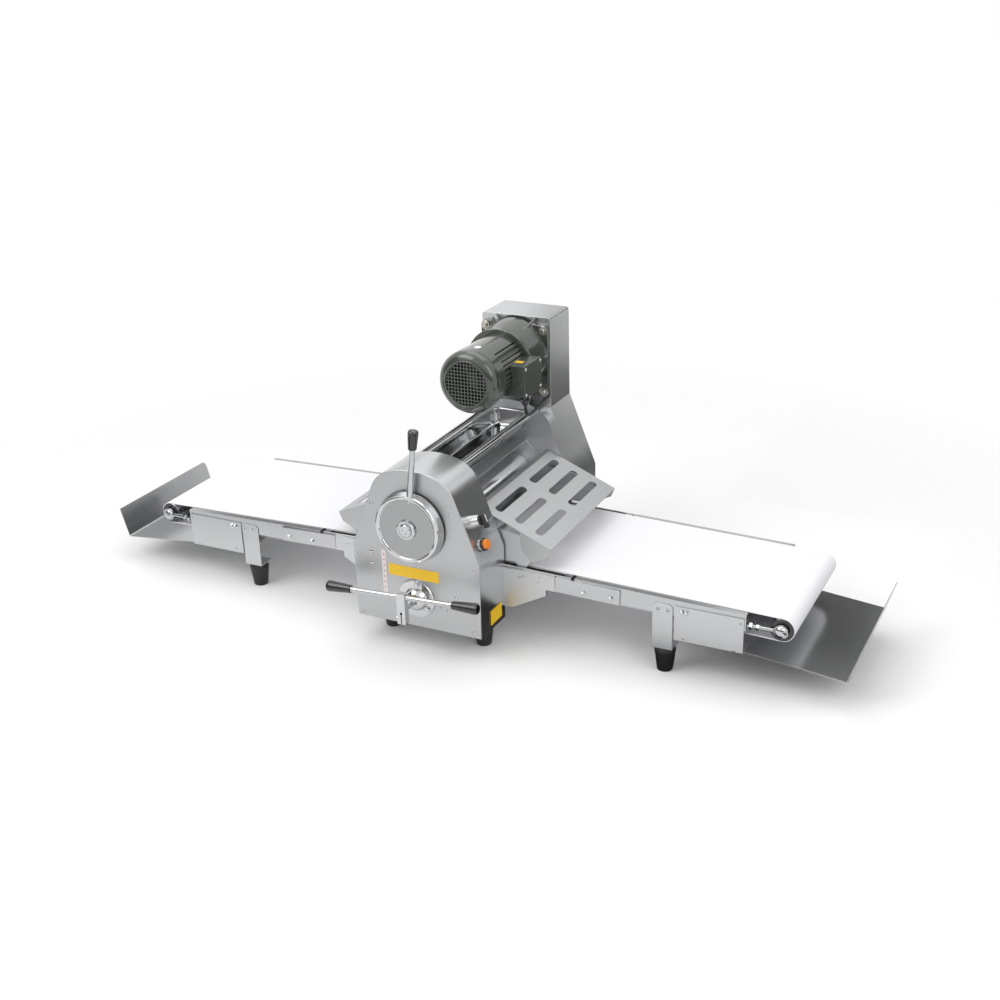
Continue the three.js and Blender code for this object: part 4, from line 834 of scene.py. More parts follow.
class SHEETER_OT_guards(bpy.types.Operator):
    """Slotted guards with their cheeks and pins"""

    bl_idname = "sheeter.guards"
    bl_label = "Guards"

    def execute(self, context):
        flange, bend, high, edge, low, sheet, half = 98, 112.5, 351.6, 301, 271.5, 2, 206.5
        reach, fall = edge - bend, high - low
        line = bent([(flange, high), (bend, high), (edge, low)], 4, 5)
        skin = strip(flat_y(line, -half), Vector((0, 2 * half * MM, 0)), sheet)
        lean = Matrix.Rotation(math.atan2(fall, reach), 4, "Y")
        cut(skin, *(moved(slot, Matrix.Translation(at(bend, 0, high)) @ lean) for slot in self.slots()))

        def along(share):
            return (bend + share * reach, high - share * fall - sheet / 2)

        steps = 8
        sweep = []
        for i in range(steps + 1):
            across = 0.43 - 0.165 * (1 - math.cos(math.pi / 2 * i / steps))
            sweep.append((edge - across * reach, low - sheet - 0.22 * reach * i / steps))
        toe = (edge - 0.06 * reach, low - sheet - 0.12 * reach)
        root = along(0.08)
        cheek = (along(0.56), *sweep, toe, along(0.995))
        lug = (
            (flange + 0.02, high - sheet / 2), (flange + 0.02, high - 14.6), (root[0], root[1] - 8), root,
        )
        for outline in (cheek, lug):
            part = plate(flat_y(outline, 0.01 - half), Vector((0, sheet * MM, 0)))
            cut(skin, flipped(part, "Y"), operation="UNION")
            cut(skin, part, operation="UNION")
        softened(skin, 0.5, 2, 40)
        both_sides(skin, "guard_sheet", "sheet", "guard", "guard")
        for side, name in ((-1, "front"), (1, "rear")):
            pin = turned([
                (0, 204.6), (3.9, 204.6), (3.9, 209.6), (3.4, 210), (0, 210),
            ], (106, 0, high - 6.6), (0, side, 0), 24)
            both_sides(pin, f"guard_pin_{name}", "chrome", None, "guard")
        return {"FINISHED"}

    def slots(self):
        """Cutters for two columns of three slots, lying flat with the bend at the origin."""
        first, pitch, middle, straight, radius, deep = 36, 58.5, 99, 68, 11, 20
        cutters = []
        for row in range(3):
            for side in (-1, 1):
                x, y = first + row * pitch, middle * side
                outline = [*arc(0, straight, radius, 0, 180), *arc(0, -straight, radius, 180, 360)]
                corners = [Vector((x + p, y + q, -deep)) * MM for p, q in outline]
                cutters.append(plate(corners, Vector((0, 0, 2 * deep * MM))))
        return cutters


class SHEETER_OT_tray(bpy.types.Operator):
    """Deep-drawn flour tray"""

    bl_idname = "sheeter.tray"
    bl_label = "Flour tray"

    def execute(self, context):
        half_x, half_y, corner, height, inset = 51, 205, 19, 452.5, 0
        tray = draw([at(x, y, height) for x, y in rounded_rectangle(half_x, half_y, corner)], closed=True)
        shape(tray, "polygons")
        bpy.ops.mesh.delete(type="ONLY_FACE")

        def last_ring(vertex):
            return abs(vertex.co.z - height * MM) < SAME

        for further, z in (
            (0, 455.2), (0.6, 456.2), (1.6, 456.4), (3, 455.4), (3.8, 453), (5.2, 440), (7.6, 420),
            (8.6, 415), (10.8, 411.4), (14.5, 409.8), (19, 409.6),
        ):
            shape(tray, "vertices", last_ring)
            bpy.ops.mesh.extrude_region_move(TRANSFORM_OT_translate={"value": (0, 0, (z - height) * MM)})
            narrower = [(half - further) / (half - inset) for half in (half_x, half_y)]
            bpy.ops.transform.resize(value=(*narrower, 1), center_override=(0, MIDDLE, z * MM))
            height, inset = z, further
        shape(tray, "vertices", last_ring)
        bpy.ops.mesh.edge_face_add()
        face_up(tidy(tray))
        modify(tray, "SOLIDIFY", thickness=1.0 * MM, offset=-1, use_even_offset=True)
        settle(tray, "tray_flour", "polished", "flour_tray", ("flour_tray",), 50)
        return {"FINISHED"}


class SHEETER_OT_motor(bpy.types.Operator):
    """Gear motor: flange, bell, ribbed body, cowl and terminal box"""

    bl_idname = "sheeter.motor"
    bl_label = "Gear motor"

    def execute(self, context):
        size = Sizes("motor")
        self.gearbox(size.height)
        self.body(size)
        self.cowl(size)
        self.grille(size)
        self.terminals(size.height)
        return {"FINISHED"}

    def gearbox(self, z):
        """Square flange, bell with its webs, and the spigot in the motor box."""
        flange_z, back, bore = z - FLANGE_DROP, 237, 14.6
        outline = [(x, flange_z + up) for x, up in rounded_rectangle(97, 97, 14)]
        flange = plate(flat_y(outline, back), Vector((0, 11.9 * MM, 0)))
        hole = turned([(0, 230), (bore, 230), (bore, 260), (0, 260)], (0, 0, flange_z), (0, 1, 0), 32)
        settle(softened(cut(flange, hole), 1.8, 3), "motor_flange", "cast", nodes=("gearbox",))
        end = back - HAIR
        bell = turned([
            (0, 152), (86.5, 152), (88.6, 152.8), (89.2, 155), (90, 163), (92, 178), (94.4, 196),
            (96.2, 212), (97, 226), (97, end), (0, end),
        ], (0, 0, z), (0, 1, 0), 96)
        for turn in (58, 122, 213, 327):
            web = plate([at(r, y, 0) for r, y in ((84, 186), (84, end), (112, end))], Vector((0, 0, 5 * MM)))
            spin = Matrix.Rotation(math.radians(-turn), 4, "Y")
            cut(bell, moved(web, Matrix.Translation((0, 0, z * MM)) @ spin), operation="UNION")
        settle(bell, "gearbox_bell", "cast", smooth=24)
        spigot = turned([
            (bore, 249.1), (41.4, 249.1), (41.4, 258), (bore, 258), (bore, 249.1),
        ], (0, 0, flange_z), (0, 1, 0), 64)
        settle(spigot, "gearbox_spigot", "machined")

    def body(self, size):
        """Cooling ribs round the motor with a smooth pad on top, between a ring and an end shield."""
        rib, core, pitch, half, pad, pad_half, soft = size.rib_radius, 70.5, 9, 3.2, 92, 39, 1
        ribs = [(turn, half) for turn in range(pad - 180, pad + 180, pitch) if abs(turn - pad) > pad_half]
        outline = []
        for middle, spread in sorted([*ribs, (pad, pad_half)]):
            steps = max(1, round(spread / half))
            crown = [(rib, (spread - 0.8) * (2 * i / steps - 1)) for i in range(steps + 1)]
            for radius, turn in (
                (core, -spread - 0.9), (rib - soft, -spread - 0.1), *crown,
                (rib - soft, spread + 0.1), (core, spread + 0.9),
            ):
                turn = math.radians(middle + turn)
                outline.append((radius * math.cos(turn), size.height + radius * math.sin(turn)))
        ribbed = plate(flat_y(outline, 20.2), Vector((0, 120.3 * MM, 0)))
        settle(softened(ribbed, 0.5, 2, 50), "motor_ribs", "cast", nodes=("motor_body",), smooth=40)
        axis = (0, 0, size.height)
        ring = turned([
            (0, 140.7), (90, 140.7), (91.6, 141.6), (92, 143.2), (92, 149.2), (91.6, 150.8), (90, 151.7),
            (0, 151.7),
        ], axis, (0, 1, 0), 96)
        settle(ring, "motor_ring", "cast", smooth=24)
        bore, front, back = 9.6, 14, 19.9
        shield = turned([
            (bore, front), (78, front), (79.4, 15), (79.4, back), (bore, back), (bore, front),
        ], axis, (0, 1, 0), 72)
        settle(shield, "motor_shield", "cast")

    def cowl(self, size):
        """Rounded fan cowl with a bead round its opening and a line round its shell."""
        r, front, opening = size.cowl_radius, size.cowl_front, 57.4
        shell = turned([
            (opening, front + 3.4), (opening, front + 0.7), (58.1, front), (60, front), (61, front + 0.8),
            (65, front + 1.6), (70, front + 3.4), (74.5, front + 6.2), (78, front + 9.8), (80.4, front + 14),
            (81.6, front + 18.4), (r, front + 23), (r, front + 28), (r - 1.3, front + 28.6),
            (r - 1.3, front + 30.4), (r, front + 31), (r, 19.2), (r - 0.5, 20), (r - 1.6, 20), (r - 2, 19.4),
            (r - 2.6, front + 24), (79.2, front + 18), (76.4, front + 13), (72, front + 8.6),
            (66, front + 4.6), (61, front + 3.4), (opening, front + 3.4),
        ], (0, 0, size.height), (0, 1, 0), 96)
        settle(shell, "cowl_shell", "cast", nodes=("fan_cowl",), smooth=24)

    def grille(self, size):
        """Flat disc of square holes."""
        pitch, bar, radius = size.grille_pitch * MM, size.grille_bar * MM, 57.3
        front, back = size.cowl_front - 2, size.cowl_front + 8
        cells = 2 * int(57 * MM / pitch) + 3
        bare()
        bpy.ops.mesh.primitive_grid_add(
            x_subdivisions=cells, y_subdivisions=cells, size=cells * pitch,
            location=at(0, size.cowl_front + 2.6, size.height), rotation=(math.pi / 2, 0, 0))
        mesh = bpy.context.object
        bpy.ops.object.transform_apply(location=True, rotation=True, scale=True)
        shape(mesh, "polygons")
        bpy.ops.mesh.inset(thickness=bar / 2, use_individual=True)
        bpy.ops.mesh.delete(type="FACE")
        tidy(mesh)
        modify(mesh, "SOLIDIFY", thickness=1.1 * MM, offset=0)
        disc = turned(
            [(0, front), (radius, front), (radius, back), (0, back)], (0, 0, size.height), (0, 1, 0), 96)
        settle(cut(mesh, disc, operation="INTERSECT"), "cowl_grille", "cast")

    def terminals(self, z):
        """Terminal box with its lid and gland."""
        low, high = z - 54, z + LID_RISE
        body = block((60, 52, low), (114, 149, high))
        for radius, front in ((80.8, 40), (92.8, 140)):
            motor = turned([(0, front), (radius, front), (radius, 160), (0, 160)], (0, 0, z), (0, 1, 0), 96)
            cut(body, motor)
        settle(softened(body, 2.4, 3), "terminal_base", "cast", nodes=("terminal_box",))
        lid = block((114.2, 50, low - 2), (118, 151, high + 2), 1.3, 3)
        settle(lid, "terminal_lid", "cast")
        foot = (*GLAND, low)
        nut = turned([
            (0, HAIR), (13.2, HAIR), (14, 1), (14, 9.6), (13, 10.8), (0, 10.8),
        ], foot, (0, 0, -1), 6)
        settle(nut, "gland_nut", "black", smooth=20)
        barrel = turned([
            (0, 11), (11, 11), (11, 16), (10, 18), (8.4, 24), (6.4, 27), (0, 27),
        ], foot, (0, 0, -1), 32)
        settle(barrel, "gland_barrel", "black")


class SHEETER_OT_tables(bpy.types.Operator):
    """Conveyor tables: beds, frames, rollers, belts and pans"""

    bl_idname = "sheeter.tables"
    bl_label = "Tables"

    def execute(self, context):
        size = Sizes("table")
        for side in ("right", "left"):
            carried(f"inner_bed_{side}", f"bed_inner_{side}", "smooth", 1.2, 3)
            carried(f"outer_bed_{side}", f"bed_outer_{side}", "smooth", 1.2, 3)
            for end in ("front", "rear"):
                carried(f"{end}_leg_{side}", f"leg_{end}_{side}", "bright", 0.8)
        self.end_frames()
        for sign, name in ((-1, "front"), (1, "rear")):
            self.tensioners(size, sign, name)
        self.belts(size)
        self.rollers(size)
        self.pans(size)
        return {"FINISHED"}

    def end_frames(self):
        """Channel of folded sheet at a table's end."""
        start, end, top, bottom, sheet, side = 618, FRAME_END, 186, 94, 3, 208
        out = side + sheet
        section = bent([(out, top), (out, bottom), (-out, bottom), (-out, top)], 3)
        tray = push(draw([at(start, y, z) for y, z in section]), Vector(((end - start) * MM, 0, 0)))
        inside = max(tray.data.polygons, key=lambda face: face.center.y)
        if inside.normal.y < 0:
            shape(tray, "polygons")
            bpy.ops.mesh.flip_normals()
            bare()
        modify(tray, "SOLIDIFY", thickness=sheet * MM, offset=-1, use_even_offset=True)
        both_sides(softened(tray, 0.7, 2, 50), "frame_end", "bright", "end_frame")

    def tensioners(self, size, sign, name):
        """Lug, eye, cap and rod with its nuts, at the front or the rear of both tables."""
        x, z, end, inner, outer, bore = size.end_x, size.end_height, FRAME_END, 194, 203, 8.3
        near, far = sorted((192.5 * sign, 207.9 * sign))
        both_sides(block((end - 12, near, 150), (end - 9, far, 186), 0.6), f"tension_lug_{name}", "sheet")
        eye = turned([
            (bore, inner), (15.6, inner), (17, 194.8), (17.5, 196.4), (17.5, 200.6), (17, 202.2),
            (15.4, outer), (bore, outer), (bore, inner),
        ], (x, 0, z), (0, sign, 0), 48)
        both_sides(eye, f"tension_eye_{name}", "chrome")
        cap = turned([
            (0, outer + HAIR), (15, outer + HAIR), (14.8, 204.4), (13.4, 206.6), (10.6, 208.8), (6, 210.2),
            (0, 210.7),
        ], (x, 0, z), (0, sign, 0), 48)
        both_sides(cap, f"tension_cap_{name}", "chrome")
        foot = (0, (inner + outer) / 2 * sign, z)
        start, stop = end - 41, x - 18
        rod = turned([
            (0, start), (4.4, start), (5, start + 0.8), (5, stop), (0, stop),
        ], foot, (1, 0, 0), 32)
        nuts = []
        for place, radius in ((end - 19.8, 7.6), (end - 8.9, 7.6), (end + 10, 9.8), (end + 26, 7.6)):
            rim = radius * 0.88
            nuts.append(turned([
                (0, place), (rim, place), (radius, place + 0.9), (radius, place + 7.1), (rim, place + 8),
                (0, place + 8),
            ], foot, (1, 0, 0), 6))
        both_sides(joined(rod, *nuts), f"tension_rod_{name}", "chrome")

    def belts(self, size):
        """Belt cloth, drawn as one loop round the two rollers."""
        (ax, az, ar), (bx, bz, br) = self.wheels(size)
        run = math.hypot(bx - ax, bz - az)
        fall = math.degrees(math.atan2(bz - az, bx - ax))
        spread = math.degrees(math.acos((ar - br) / run))
        gap, steps, half = 0.3 + size.belt_sheet, 28, size.belt_half
        outer = [*arc(ax, az, ar + gap, fall + spread, fall + 360 - spread, steps),
                 *arc(bx, bz, br + gap, fall - spread, fall + spread, steps)]
        belt = strip(flat_y(outer, -half), Vector((0, 2 * half * MM, 0)), size.belt_sheet, True)
        pieces = both_sides(softened(belt, 0.5, 2, 40), "belt", "cloth", "conveyor_belt")
        middle = 0.3 + size.belt_sheet / 2
        turn = math.radians(spread)
        around = 2 * math.sqrt(run ** 2 - (br - ar) ** 2)
        around += (ar + middle) * (FULL_TURN - 2 * turn) + (br + middle) * 2 * turn
        for piece, side in zip(pieces, ("right", "left")):
            2 * size.belt_half * MM

    def wheels(self, size):
        """Place, height and radius of the drive roller and of the end roller."""
        return ((size.drive_x, size.drive_height, size.drive_radius),
                (size.end_x, size.end_height, size.end_radius))

    def rollers(self, size):
        """Drive rollers with their sprockets, and end rollers with black rings at their ends, a painted
        shade for the dark inside of the belt loop.
        """
        for side in ("right", "left"):
            rest = softened(behind(f"drive_roller_{side}", 240.2), 0.3)
            settle(rest, f"roller_drive_wheel_{side}", "machined", f"drive_roller_{side}")
        half = size.belt_half + 0.6
        for name, (x, z, r), journal, front, rear in zip(
            ("drive", "end"), self.wheels(size), (9, 8), (226, 198), (240, 198),
        ):
            roller = turned([
                (0, -front), (journal, -front), (journal, -half), (r - 2, -half), (r, 2 - half),
                (r, half - 2), (r - 2, half), (journal, half), (journal, rear), (0, rear),
            ], (x, 0, z), (0, 1, 0), 64)
            both_sides(roller, f"roller_{name}", "polished", f"{name}_roller", f"{name}_roller")
        x, z, r = self.wheels(size)[1]
        # Black rings against the end rollers' ends: a painted shade for the dark inside of the belt loop.
        bore, near, far = 8.4, half + HAIR, half + 1.4
        for sign, name in ((-1, "front"), (1, "rear")):
            ring = turned([
                (bore, near), (r + 0.4, near), (r - 0.2, half + 1.2), (r - 5, far),
                (bore, far), (bore, near),
            ], (x, 0, z), (0, sign, 0), 64)
            both_sides(ring, f"roller_end_ring_{name}", "black", None, "end_roller")

    def pans(self, size):
        """Catch pan with its lip turned up and its upper corners rounded."""
        bend, top, half, corner, seat, over = size.pan_reach, size.pan_lip, 197, 14, 93.7, 9
        line = bent([(740, seat), (FRAME_END, seat), (bend, 69), (bend + 23, top)], 5, 6)
        pan = strip(flat_y(line, -half), Vector((0, 2 * half * MM, 0)), 1.5)
        for side in (-1, 1):
            curve = arc(side * (half - corner), top - corner, corner, 90 - 90 * side, 90, 8)
            outline = [(side * (half + over), top - corner), *curve, (side * (half - corner), top + over),
                       (side * (half + over), top + over)]
            cut(pan, plate([at(bend - 4, y, z) for y, z in outline], Vector((40 * MM, 0, 0))))
        both_sides(softened(pan, 0.4, 2, 50), "pan", "smooth", "catch_pan")


class SHEETER_OT_feet(bpy.types.Operator):
    """Rubber feet"""

    bl_idname = "sheeter.feet"
    bl_label = "Feet"

    def execute(self, context):
        for name, x, y, height in (
            ("front_foot", 131, -246, 64.7), ("rear_foot", 131, 296, 64.7),
            ("front_table_foot", 588.5, -186, 65.7), ("rear_table_foot", 588.5, 186, 65.7),
        ):
            foot = turned([
                (0, 0), (17.4, 0), (19, 1.4), (25, 46), (25.6, 50), (26, 52), (26, 56), (25.2, 58.4),
                (21, height - 0.6), (20, height), (0, height),
            ], (x, y, 0), (0, 0, 1), 48)
            both_sides(foot, f"{name}_rubber", "rubber", name)
        return {"FINISHED"}


class SHEETER_OT_controls(bpy.types.Operator):
    """Rotary switch and push button on the right flank"""

    bl_idname = "sheeter.controls"
    bl_label = "Controls"

    def execute(self, context):
        slope = math.radians(21.2)
        out = Vector((math.cos(slope), 0, math.sin(slope)))
        across = Vector((-out.z, 0, out.x))
        axes = Matrix((across, out.cross(across), out)).transposed().to_4x4()

        def on_flank(z, y):
            """Foot on the sloped flank, which passes through one known corner."""
            reach = out.x * 175 + out.z * 263
            return ((reach - out.z * z) / out.x, y, z)

        def bar(size, soft, segments, high, along):
            """Bar across the switch, at a height over its foot and a little along the flank."""
            bare()
            bpy.ops.mesh.primitive_cube_add(size=1, location=(0, 0, 0), scale=Vector(size) * MM)
            piece = bpy.context.object
            bpy.ops.object.transform_apply(location=True, rotation=True, scale=True)
            centre = at(*foot) + out * (high * MM) + across * (along * MM)
            return moved(softened(piece, soft, segments), Matrix.Translation(centre) @ axes)

        foot = on_flank(358, -305)
        disc = turned(rimmed(13, 28.3, 32.6, 0.6), foot, out, 40)
        handle = bar((36, 10, 12), 1.6, 3, 38.6, -4)
        settle(joined(disc, handle), "switch_handle", "mark", "switch_knob", ("switch_knob",))
        settle(bar((20, 3, 0.3), 0.1, 2, 44.75, 2), "switch_mark", "cloth", "switch_knob")
        foot = on_flank(299, -298)
        cap = turned([
            (0, 4.3), (12.2, 4.3), (12.2, 17), (11.7, 18.8), (10.2, 19.8), (6, 20.1), (0, 20.2),
        ], foot, out, 48)
        settle(cap, "button_cap", "orange", "push_button", ("push_button",), 26)
        bore, low = 12.5, 4.4
        bezel = turned([
            (bore, low), (15.2, low), (16, 5.2), (16, 9.6), (15.2, 10.8), (13.2, 11.2), (bore, 10.6),
            (bore, low),
        ], foot, out, 48)
        settle(bezel, "button_bezel", "black")
        return {"FINISHED"}


def upright(profile, sides):
    """A profile spun about an upright axis through the rollers' middle."""
    return turned(profile, direction=(0, 0, 1), sides=sides)


def crossed(head, r, low):
    """A screw head with its cross cut down to a height."""
    wide, thin = 0.55 * r, 0.13 * r
    for x, y in ((wide, thin), (thin, wide)):
        cut(head, block((-x, -y, low), (x, y, r)))
    return head


def pan_head(r):
    """Screw head with a cross, on a foot at the middle and pointing up."""
    return crossed(upright([
        (0, 0), (r, 0), (r, 0.3 * r), (0.84 * r, 0.55 * r), (0.5 * r, 0.7 * r), (0, 0.74 * r),
    ], 24), r, 0.4 * r)


def flush_head(r):
    """Countersunk screw, a hair proud of its sheet, with a cross."""
    return crossed(upright([(0, 0), (r, 0), (r, 0.2), (r - 0.3, 0.3), (0, 0.3)], 24), r, 0.15)


def hex_head(r):
    """Six-sided bolt head on its washer."""
    washer = upright([
        (0, 0), (1.5 * r, 0), (1.6 * r, 0.06 * r), (1.6 * r, 0.2 * r), (1.5 * r, 0.26 * r), (0, 0.26 * r),
    ], 32)
    head = upright([(0, 0.27 * r), (r, 0.27 * r), (r, 0.85 * r), (0.86 * r, 0.98 * r), (0, 0.98 * r)], 6)
    return joined(washer, head)


def dome_head(r):
    """Rivet head."""
    return upright([
        (0, 0), (r, 0), (r, 0.12 * r), (0.86 * r, 0.34 * r), (0.5 * r, 0.5 * r), (0, 0.55 * r),
    ], 28)


def wing_head(r):
    """Wing bolt: a boss with two ears."""
    boss = upright([(0, 0), (0.9 * r, 0), (0.7 * r, 1.3 * r), (0, 1.3 * r)], 24)
    ear = softened(block((-1.9 * r, -0.2 * r, 0.7 * r), (1.9 * r, 0.2 * r, 2 * r)), 0.18 * r, 2)
    notch = block((-0.75 * r, -r, 1.35 * r), (0.75 * r, r, 3 * r))
    return joined(boss, cut(ear, notch))


def fitted(kind, radius, spots, name, finish="polished", out=(0, -1, 0), body="frame"):
    """One fastener modelled at the origin and copied to every spot, each turned a little further."""
    first = kind(radius)
    face = Vector((0, 0, 1)).rotation_difference(Vector(out)).to_matrix().to_4x4()
    home = Matrix.Translation(-at(0, 0, 0))
    copies = []
    for i, spot in enumerate(spots):
        turn = Matrix.Rotation(math.radians(25 + 50 * i), 4, "Z")
        copies.append(twin(first, Matrix.Translation(at(*spot)) @ face @ turn @ home))
    hold(first)
    bpy.ops.object.delete()
    return settle(joined(*copies), name, finish, body, smooth=30)


def outer_face(node, end=0):
    """Distance of a node's front (0) or rear (1) face from the rollers' middle, in millimetres."""
    return (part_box(node)[end].y - MIDDLE) / MM


def paired(y, *places):
    """Spots at both sides of the machine's middle, the right-hand ones first."""
    return [(side * x, y, z) for side in (1, -1) for x, z in places]


class SHEETER_OT_fasteners(bpy.types.Operator):
    """Screws, bolts and wing bolts"""

    bl_idname = "sheeter.fasteners"
    bl_label = "Fasteners"

    def execute(self, context):
        plate_y = outer_face("front_plate") - HAIR
        fitted(pan_head, 4.4, [(x, plate_y, z) for x, z in (
            (-115, 380), (103, 385), (-160, 238), (158, 243), (-161, 73), (154, 80), (108, 166),
        )], "plate_screws")
        fitted(dome_head, 5.4, [(-124, plate_y, z) for z in (219, 249)], "plate_rivets")
        fitted(pan_head, 3.6, [(65, plate_y, 130), (84, plate_y, 126)], "stop_screws")
        fitted(hex_head, 5.6, [
            (-1 + 39 * math.cos(a), -345.8, 144 + 39 * math.sin(a)) for a in (1.45, 3.55, 5.65)
        ], "flange_bolts", "chrome")
        for kind, radius, node, name, places in (
            (dome_head, 3.4, "end_frame", "frame_rivets", ((765, 100), (641, 106), (779, 173))),
            (hex_head, 4.6, "end_frame", "frame_bolts", ((636, 175), (647, 175))),
            (pan_head, 4.6, "front_leg", "leg_screws", ((578, 173), (603, 173))),
            (hex_head, 4.8, "outer_bed", "splice_bolts", ((387, 176), (459, 176))),
            (wing_head, 5, "inner_bed", "wing_bolts", ((224, 188), (270, 188))),
        ):
            fitted(kind, radius, paired(outer_face(f"{node}_right") - HAIR, *places), name)
        size = Sizes("motor")
        corners = [(x, 237 - HAIR, size.height - FLANGE_DROP + z) for x in (84, -84) for z in (84, -84)]
        fitted(hex_head, 7.6, corners, "motor_bolts", "bolt")
        spots = [(118 + HAIR, y, z) for y in (57, 144) for z in (556, 624)]
        fitted(pan_head, 4, spots, "lid_screws", out=(1, 0, 0))
        for node, places in (
            ("rear_cover", ((110, 380), (158, 240), (158, 76))), ("motor_box", ((86, 484), (86, 682))),
        ):
            spots = paired(outer_face(node, 1) + HAIR / 2, *places)
            fitted(flush_head, 4.6, spots, f"{node}_screws", out=(0, 1, 0))
        return {"FINISHED"}


class SHEETER_OT_labels(bpy.types.Operator):
    """Bare labels and marks"""

    bl_idname = "sheeter.labels"
    bl_label = "Labels"

    def execute(self, context):
        film, motor = 0.3, Sizes("motor").height
        back = outer_face("front_plate") - HAIR
        front = back - film
        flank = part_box("front_cover")[1].x / MM + HAIR
        lid = motor + LID_RISE + HAIR
        for name, low, high, finish in (
            ("label_front", (-77, front, 196), (63, back, 226), "label"),
            ("label_scale", (-95, front, 145), (-83, back, 260), "scale"),
            ("label_flank", (flank, -290, 79), (flank + film, -230, 118), "label"),
            ("label_terminal", (68, 82, lid), (96, 98, lid + film), "label"),
        ):
            settle(softened(block(low, high), 0.1, 1), name, finish)
        fitted(dome_head, 1.5, [(-89, front, 158 + 15 * i) for i in range(7)], "scale_dots", "mark")
        plug = turned([(0, 0), (9, 0), (9, 0.8), (8, 1.6), (0, 1.6)], (9, 10, motor + 81.2), (0, 0, 1), 28)
        settle(plug, "cowl_plug", "cloth")
        return {"FINISHED"}


# Grey cards of the studio that only the steel mirrors: name, grey, low and high corner in metres.
CARDS = (
    ("card_flank_front", 0.04, (1.3, 2, 0), (3.2, 2, 1.3)),
    ("card_flank_rear", 0.35, (1, 2, 0.1), (1.3, 2, 0.9)),
    ("card_box_back", 0.1, (0.78, 2, 0), (0.93, 2, 0.25)),
    ("card_pan", 0.02, (0.42, 2, 0.85), (0.98, 2, 1.65)),
    ("card_rail_right", 0.1, (-0.75, 2, 1.25), (0.1, 2, 1.65)),
    ("card_rail_left", 0.01, (-2.6, 2, 1.2), (-1.6, 2, 1.75)),
    ("card_flank_low", 0.05, (0.2, -0.3, 0.004), (0.9, 0.6, 0.004)),
    ("card_flank_floor", 0.05, (1.1, 0.6, 0.004), (3.2, 2, 0.004)),
    ("card_box_side", 0.06, (0.4, 0.9, 0.004), (1.1, 2, 0.004)),
    ("card_band", 0.05, (-5, -3.4, 0.25), (5, -3.4, 1.1)),
    ("card_side", 0.05, (-2.2, -2.6, 0.2), (-2.2, -0.9, 2.2)),
    ("card_lever_left", 0.05, (-1.6, -1.25, 0.004), (-0.75, -0.6, 0.004)),
    ("card_lever_right", 0.05, (1.05, -1.25, 0.004), (1.6, -0.2, 0.004)),
)
# Thickness of a card, in metres.
CARD_SHEET = 0.002
# Square lamps: name, place and width in metres, power in watts.
LAMPS = (
    ("key_lamp", (-1.6, -2.2, 3.0), 2.4, 52),
    ("fill_lamp", (2.6, -1.4, 2.2), 2.0, 22),
    ("top_lamp", (0, 0.8, 3.4), 3.0, 36),
)
# Point that the lamps look at, in metres.
LAMP_AIM = (0, 0, 0.3)
# The photograph's camera: yaw, pitch and roll in degrees, place in millimetres.
CAMERA_TURNS = (26.94, 23.27, 1.83)
CAMERA_PLACE = (1581, -2960.75, 1722)
# Its focal length in picture widths, and the width of its sensor in millimetres.
CAMERA_FOCAL = 1.405
SENSOR_WIDTH = 36


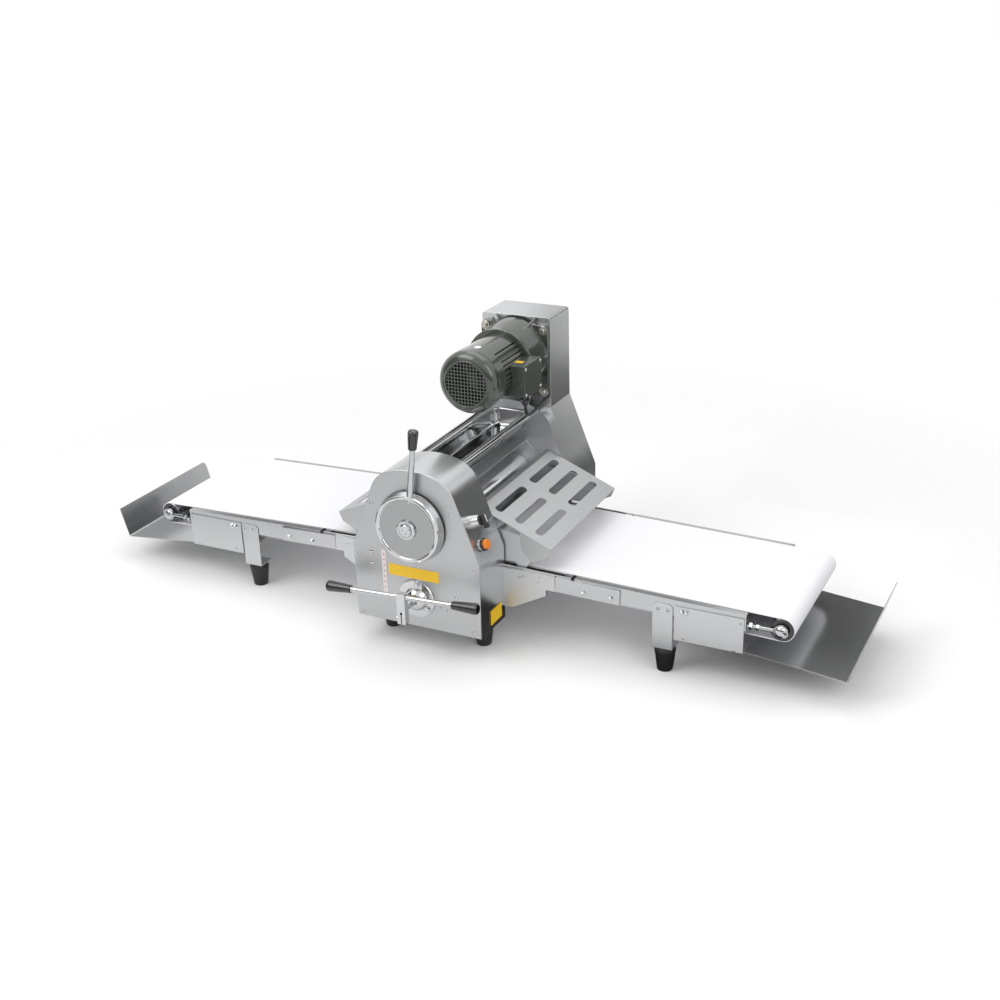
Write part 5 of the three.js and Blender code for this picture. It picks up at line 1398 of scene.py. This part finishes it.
class SHEETER_OT_stage(bpy.types.Operator):
    """Floor, cards, lamps and the camera at the photograph's angle"""

    bl_idname = "sheeter.stage"
    bl_label = "Stage"

    def execute(self, context):
        context.scene.view_settings.view_transform = "Standard"
        self.sky(context)
        self.floor(context)
        for card in CARDS:
            self.card(context, *card)
        for lamp in LAMPS:
            self.lamp(context, *lamp)
        self.camera(context)
        return {"FINISHED"}

    def sky(self, context):
        """White surroundings, dimmer as light than where the camera or the steel sees them."""
        world = bpy.data.worlds.new("studio")
        context.scene.world = world
        world.use_nodes = True
        tree = world.node_tree
        ground = tree.nodes["Background"]
        path = tree.nodes.new("ShaderNodeLightPath")
        camera, glossy, clear = (
            Wire(tree, path.outputs[f"Is {kind} Ray"]) for kind in ("Camera", "Glossy", "Transmission"))
        ground.inputs["Color"].default_value = colour((1, 1, 1))
        strength = camera.top(glossy).top(clear) * 0.35 + 0.65
        tree.links.new(strength.socket, ground.inputs["Strength"])

    def floor(self, context):
        """Pale floor that fades to white away from the machine."""
        near, far = 1.15, 2.1
        bare()
        bpy.ops.mesh.primitive_circle_add(vertices=96, radius=70, fill_type="NGON", location=(0, 0, 0))
        floor = context.object
        floor.name = "floor"
        finish = Finish("floor")
        finish.set(Base_Color=colour((0.93, 0.93, 0.93)), Roughness=0.9)
        spot = finish.node("ShaderNodeTexCoord", output=3)
        apart = finish.node("ShaderNodeVectorMath", {"operation": "LENGTH"}, {0: spot}, output=1)
        fade = finish.node("ShaderNodeMapRange", values={"Value": apart, "From Min": near, "From Max": far})
        glow = finish.node("ShaderNodeEmission", values={"Color": colour((1, 1, 1)), "Strength": 1.0})
        lit = Wire(finish.tree, finish.shader.outputs[0])
        both = finish.node("ShaderNodeMixShader", values={0: fade, 1: lit, 2: glow})
        finish.tree.links.new(both.socket, finish.tree.nodes["Material Output"].inputs["Surface"])
        floor.data.materials.append(finish.material)

    def card(self, context, name, grey, low, high):
        """Card that neither the camera nor the lamps see."""
        finish = Finish(name)
        finish.set(Base_Color=colour((grey, grey, grey)), Roughness=1.0, Specular_IOR_Level=0.0)
        low, high = Vector(low), Vector(high)
        size = [max(c, CARD_SHEET) for c in high - low]
        bare()
        bpy.ops.mesh.primitive_cube_add(size=1, location=(low + high) / 2, scale=size)
        card = context.object
        card.name = name
        bpy.ops.object.transform_apply(location=True, rotation=True, scale=True)
        card.data.materials.append(finish.material)
        card.visible_camera = card.visible_shadow = card.visible_diffuse = False

    def lamp(self, context, name, place, width, power):
        """Square lamp that looks at the machine."""
        bpy.ops.object.light_add(type="AREA", location=place)
        lamp = context.object
        lamp.name = name
        lamp.data.size = width
        lamp.data.energy = power
        lamp.rotation_euler = (Vector(LAMP_AIM) - Vector(place)).to_track_quat("-Z", "Y").to_euler()

    def camera(self, context):
        """Camera at the photograph's angle."""
        yaw, pitch, roll = (math.radians(turn) for turn in CAMERA_TURNS)
        ahead = Vector((-math.sin(yaw) * math.cos(pitch), math.cos(yaw) * math.cos(pitch), -math.sin(pitch)))
        right = Vector((math.cos(yaw), math.sin(yaw), 0))
        down = ahead.cross(right)
        right_tilted = right * math.cos(roll) + down * math.sin(roll)
        down_tilted = down * math.cos(roll) - right * math.sin(roll)
        bpy.ops.object.camera_add()
        camera = context.object
        camera.name = "camera"
        turn = Matrix((right_tilted, -down_tilted, -ahead)).transposed().to_4x4()
        camera.matrix_world = Matrix.Translation(Vector(CAMERA_PLACE) * MM) @ turn
        camera.data.sensor_width = SENSOR_WIDTH
        camera.data.lens = SENSOR_WIDTH * CAMERA_FOCAL
        camera.data.clip_end = 200
        context.scene.camera = camera


class SHEETER_PT_panel(bpy.types.Panel):
    """Lists the sizes and the operators that build the machine"""

    bl_label = "Dough sheeter"
    bl_idname = "SHEETER_PT_panel"
    bl_space_type = "VIEW_3D"
    bl_region_type = "UI"
    bl_category = "Dough sheeter"

    def draw(self, context):
        for operator in OPERATORS:
            self.layout.operator(operator.bl_idname)
        for group, kind in GROUPS.items():
            box = self.layout.box()
            for name in kind.__annotations__:
                box.prop(getattr(context.scene, "sheeter_" + group), name)


OPERATORS = (
    SHEETER_OT_finishes, SHEETER_OT_stage, SHEETER_OT_lead, SHEETER_OT_housings, SHEETER_OT_dial,
    SHEETER_OT_direction, SHEETER_OT_rollers, SHEETER_OT_guards, SHEETER_OT_tray, SHEETER_OT_motor,
    SHEETER_OT_tables, SHEETER_OT_feet, SHEETER_OT_controls, SHEETER_OT_fasteners, SHEETER_OT_labels,
)
CLASSES = (*GROUPS.values(), *OPERATORS, SHEETER_PT_panel)


def register():
    for item in CLASSES:
        bpy.utils.register_class(item)
    for name, kind in GROUPS.items():
        setattr(bpy.types.Scene, "sheeter_" + name, bpy.props.PointerProperty(type=kind))


def unregister():
    for name in GROUPS:
        delattr(bpy.types.Scene, "sheeter_" + name)
    for item in reversed(CLASSES):
        bpy.utils.unregister_class(item)


def main():
    """Builds every piece."""
    register()
    for operator in OPERATORS:
        group, name = operator.bl_idname.split(".")
        getattr(getattr(bpy.ops, group), name)()


if __name__ == "__main__":
    main()
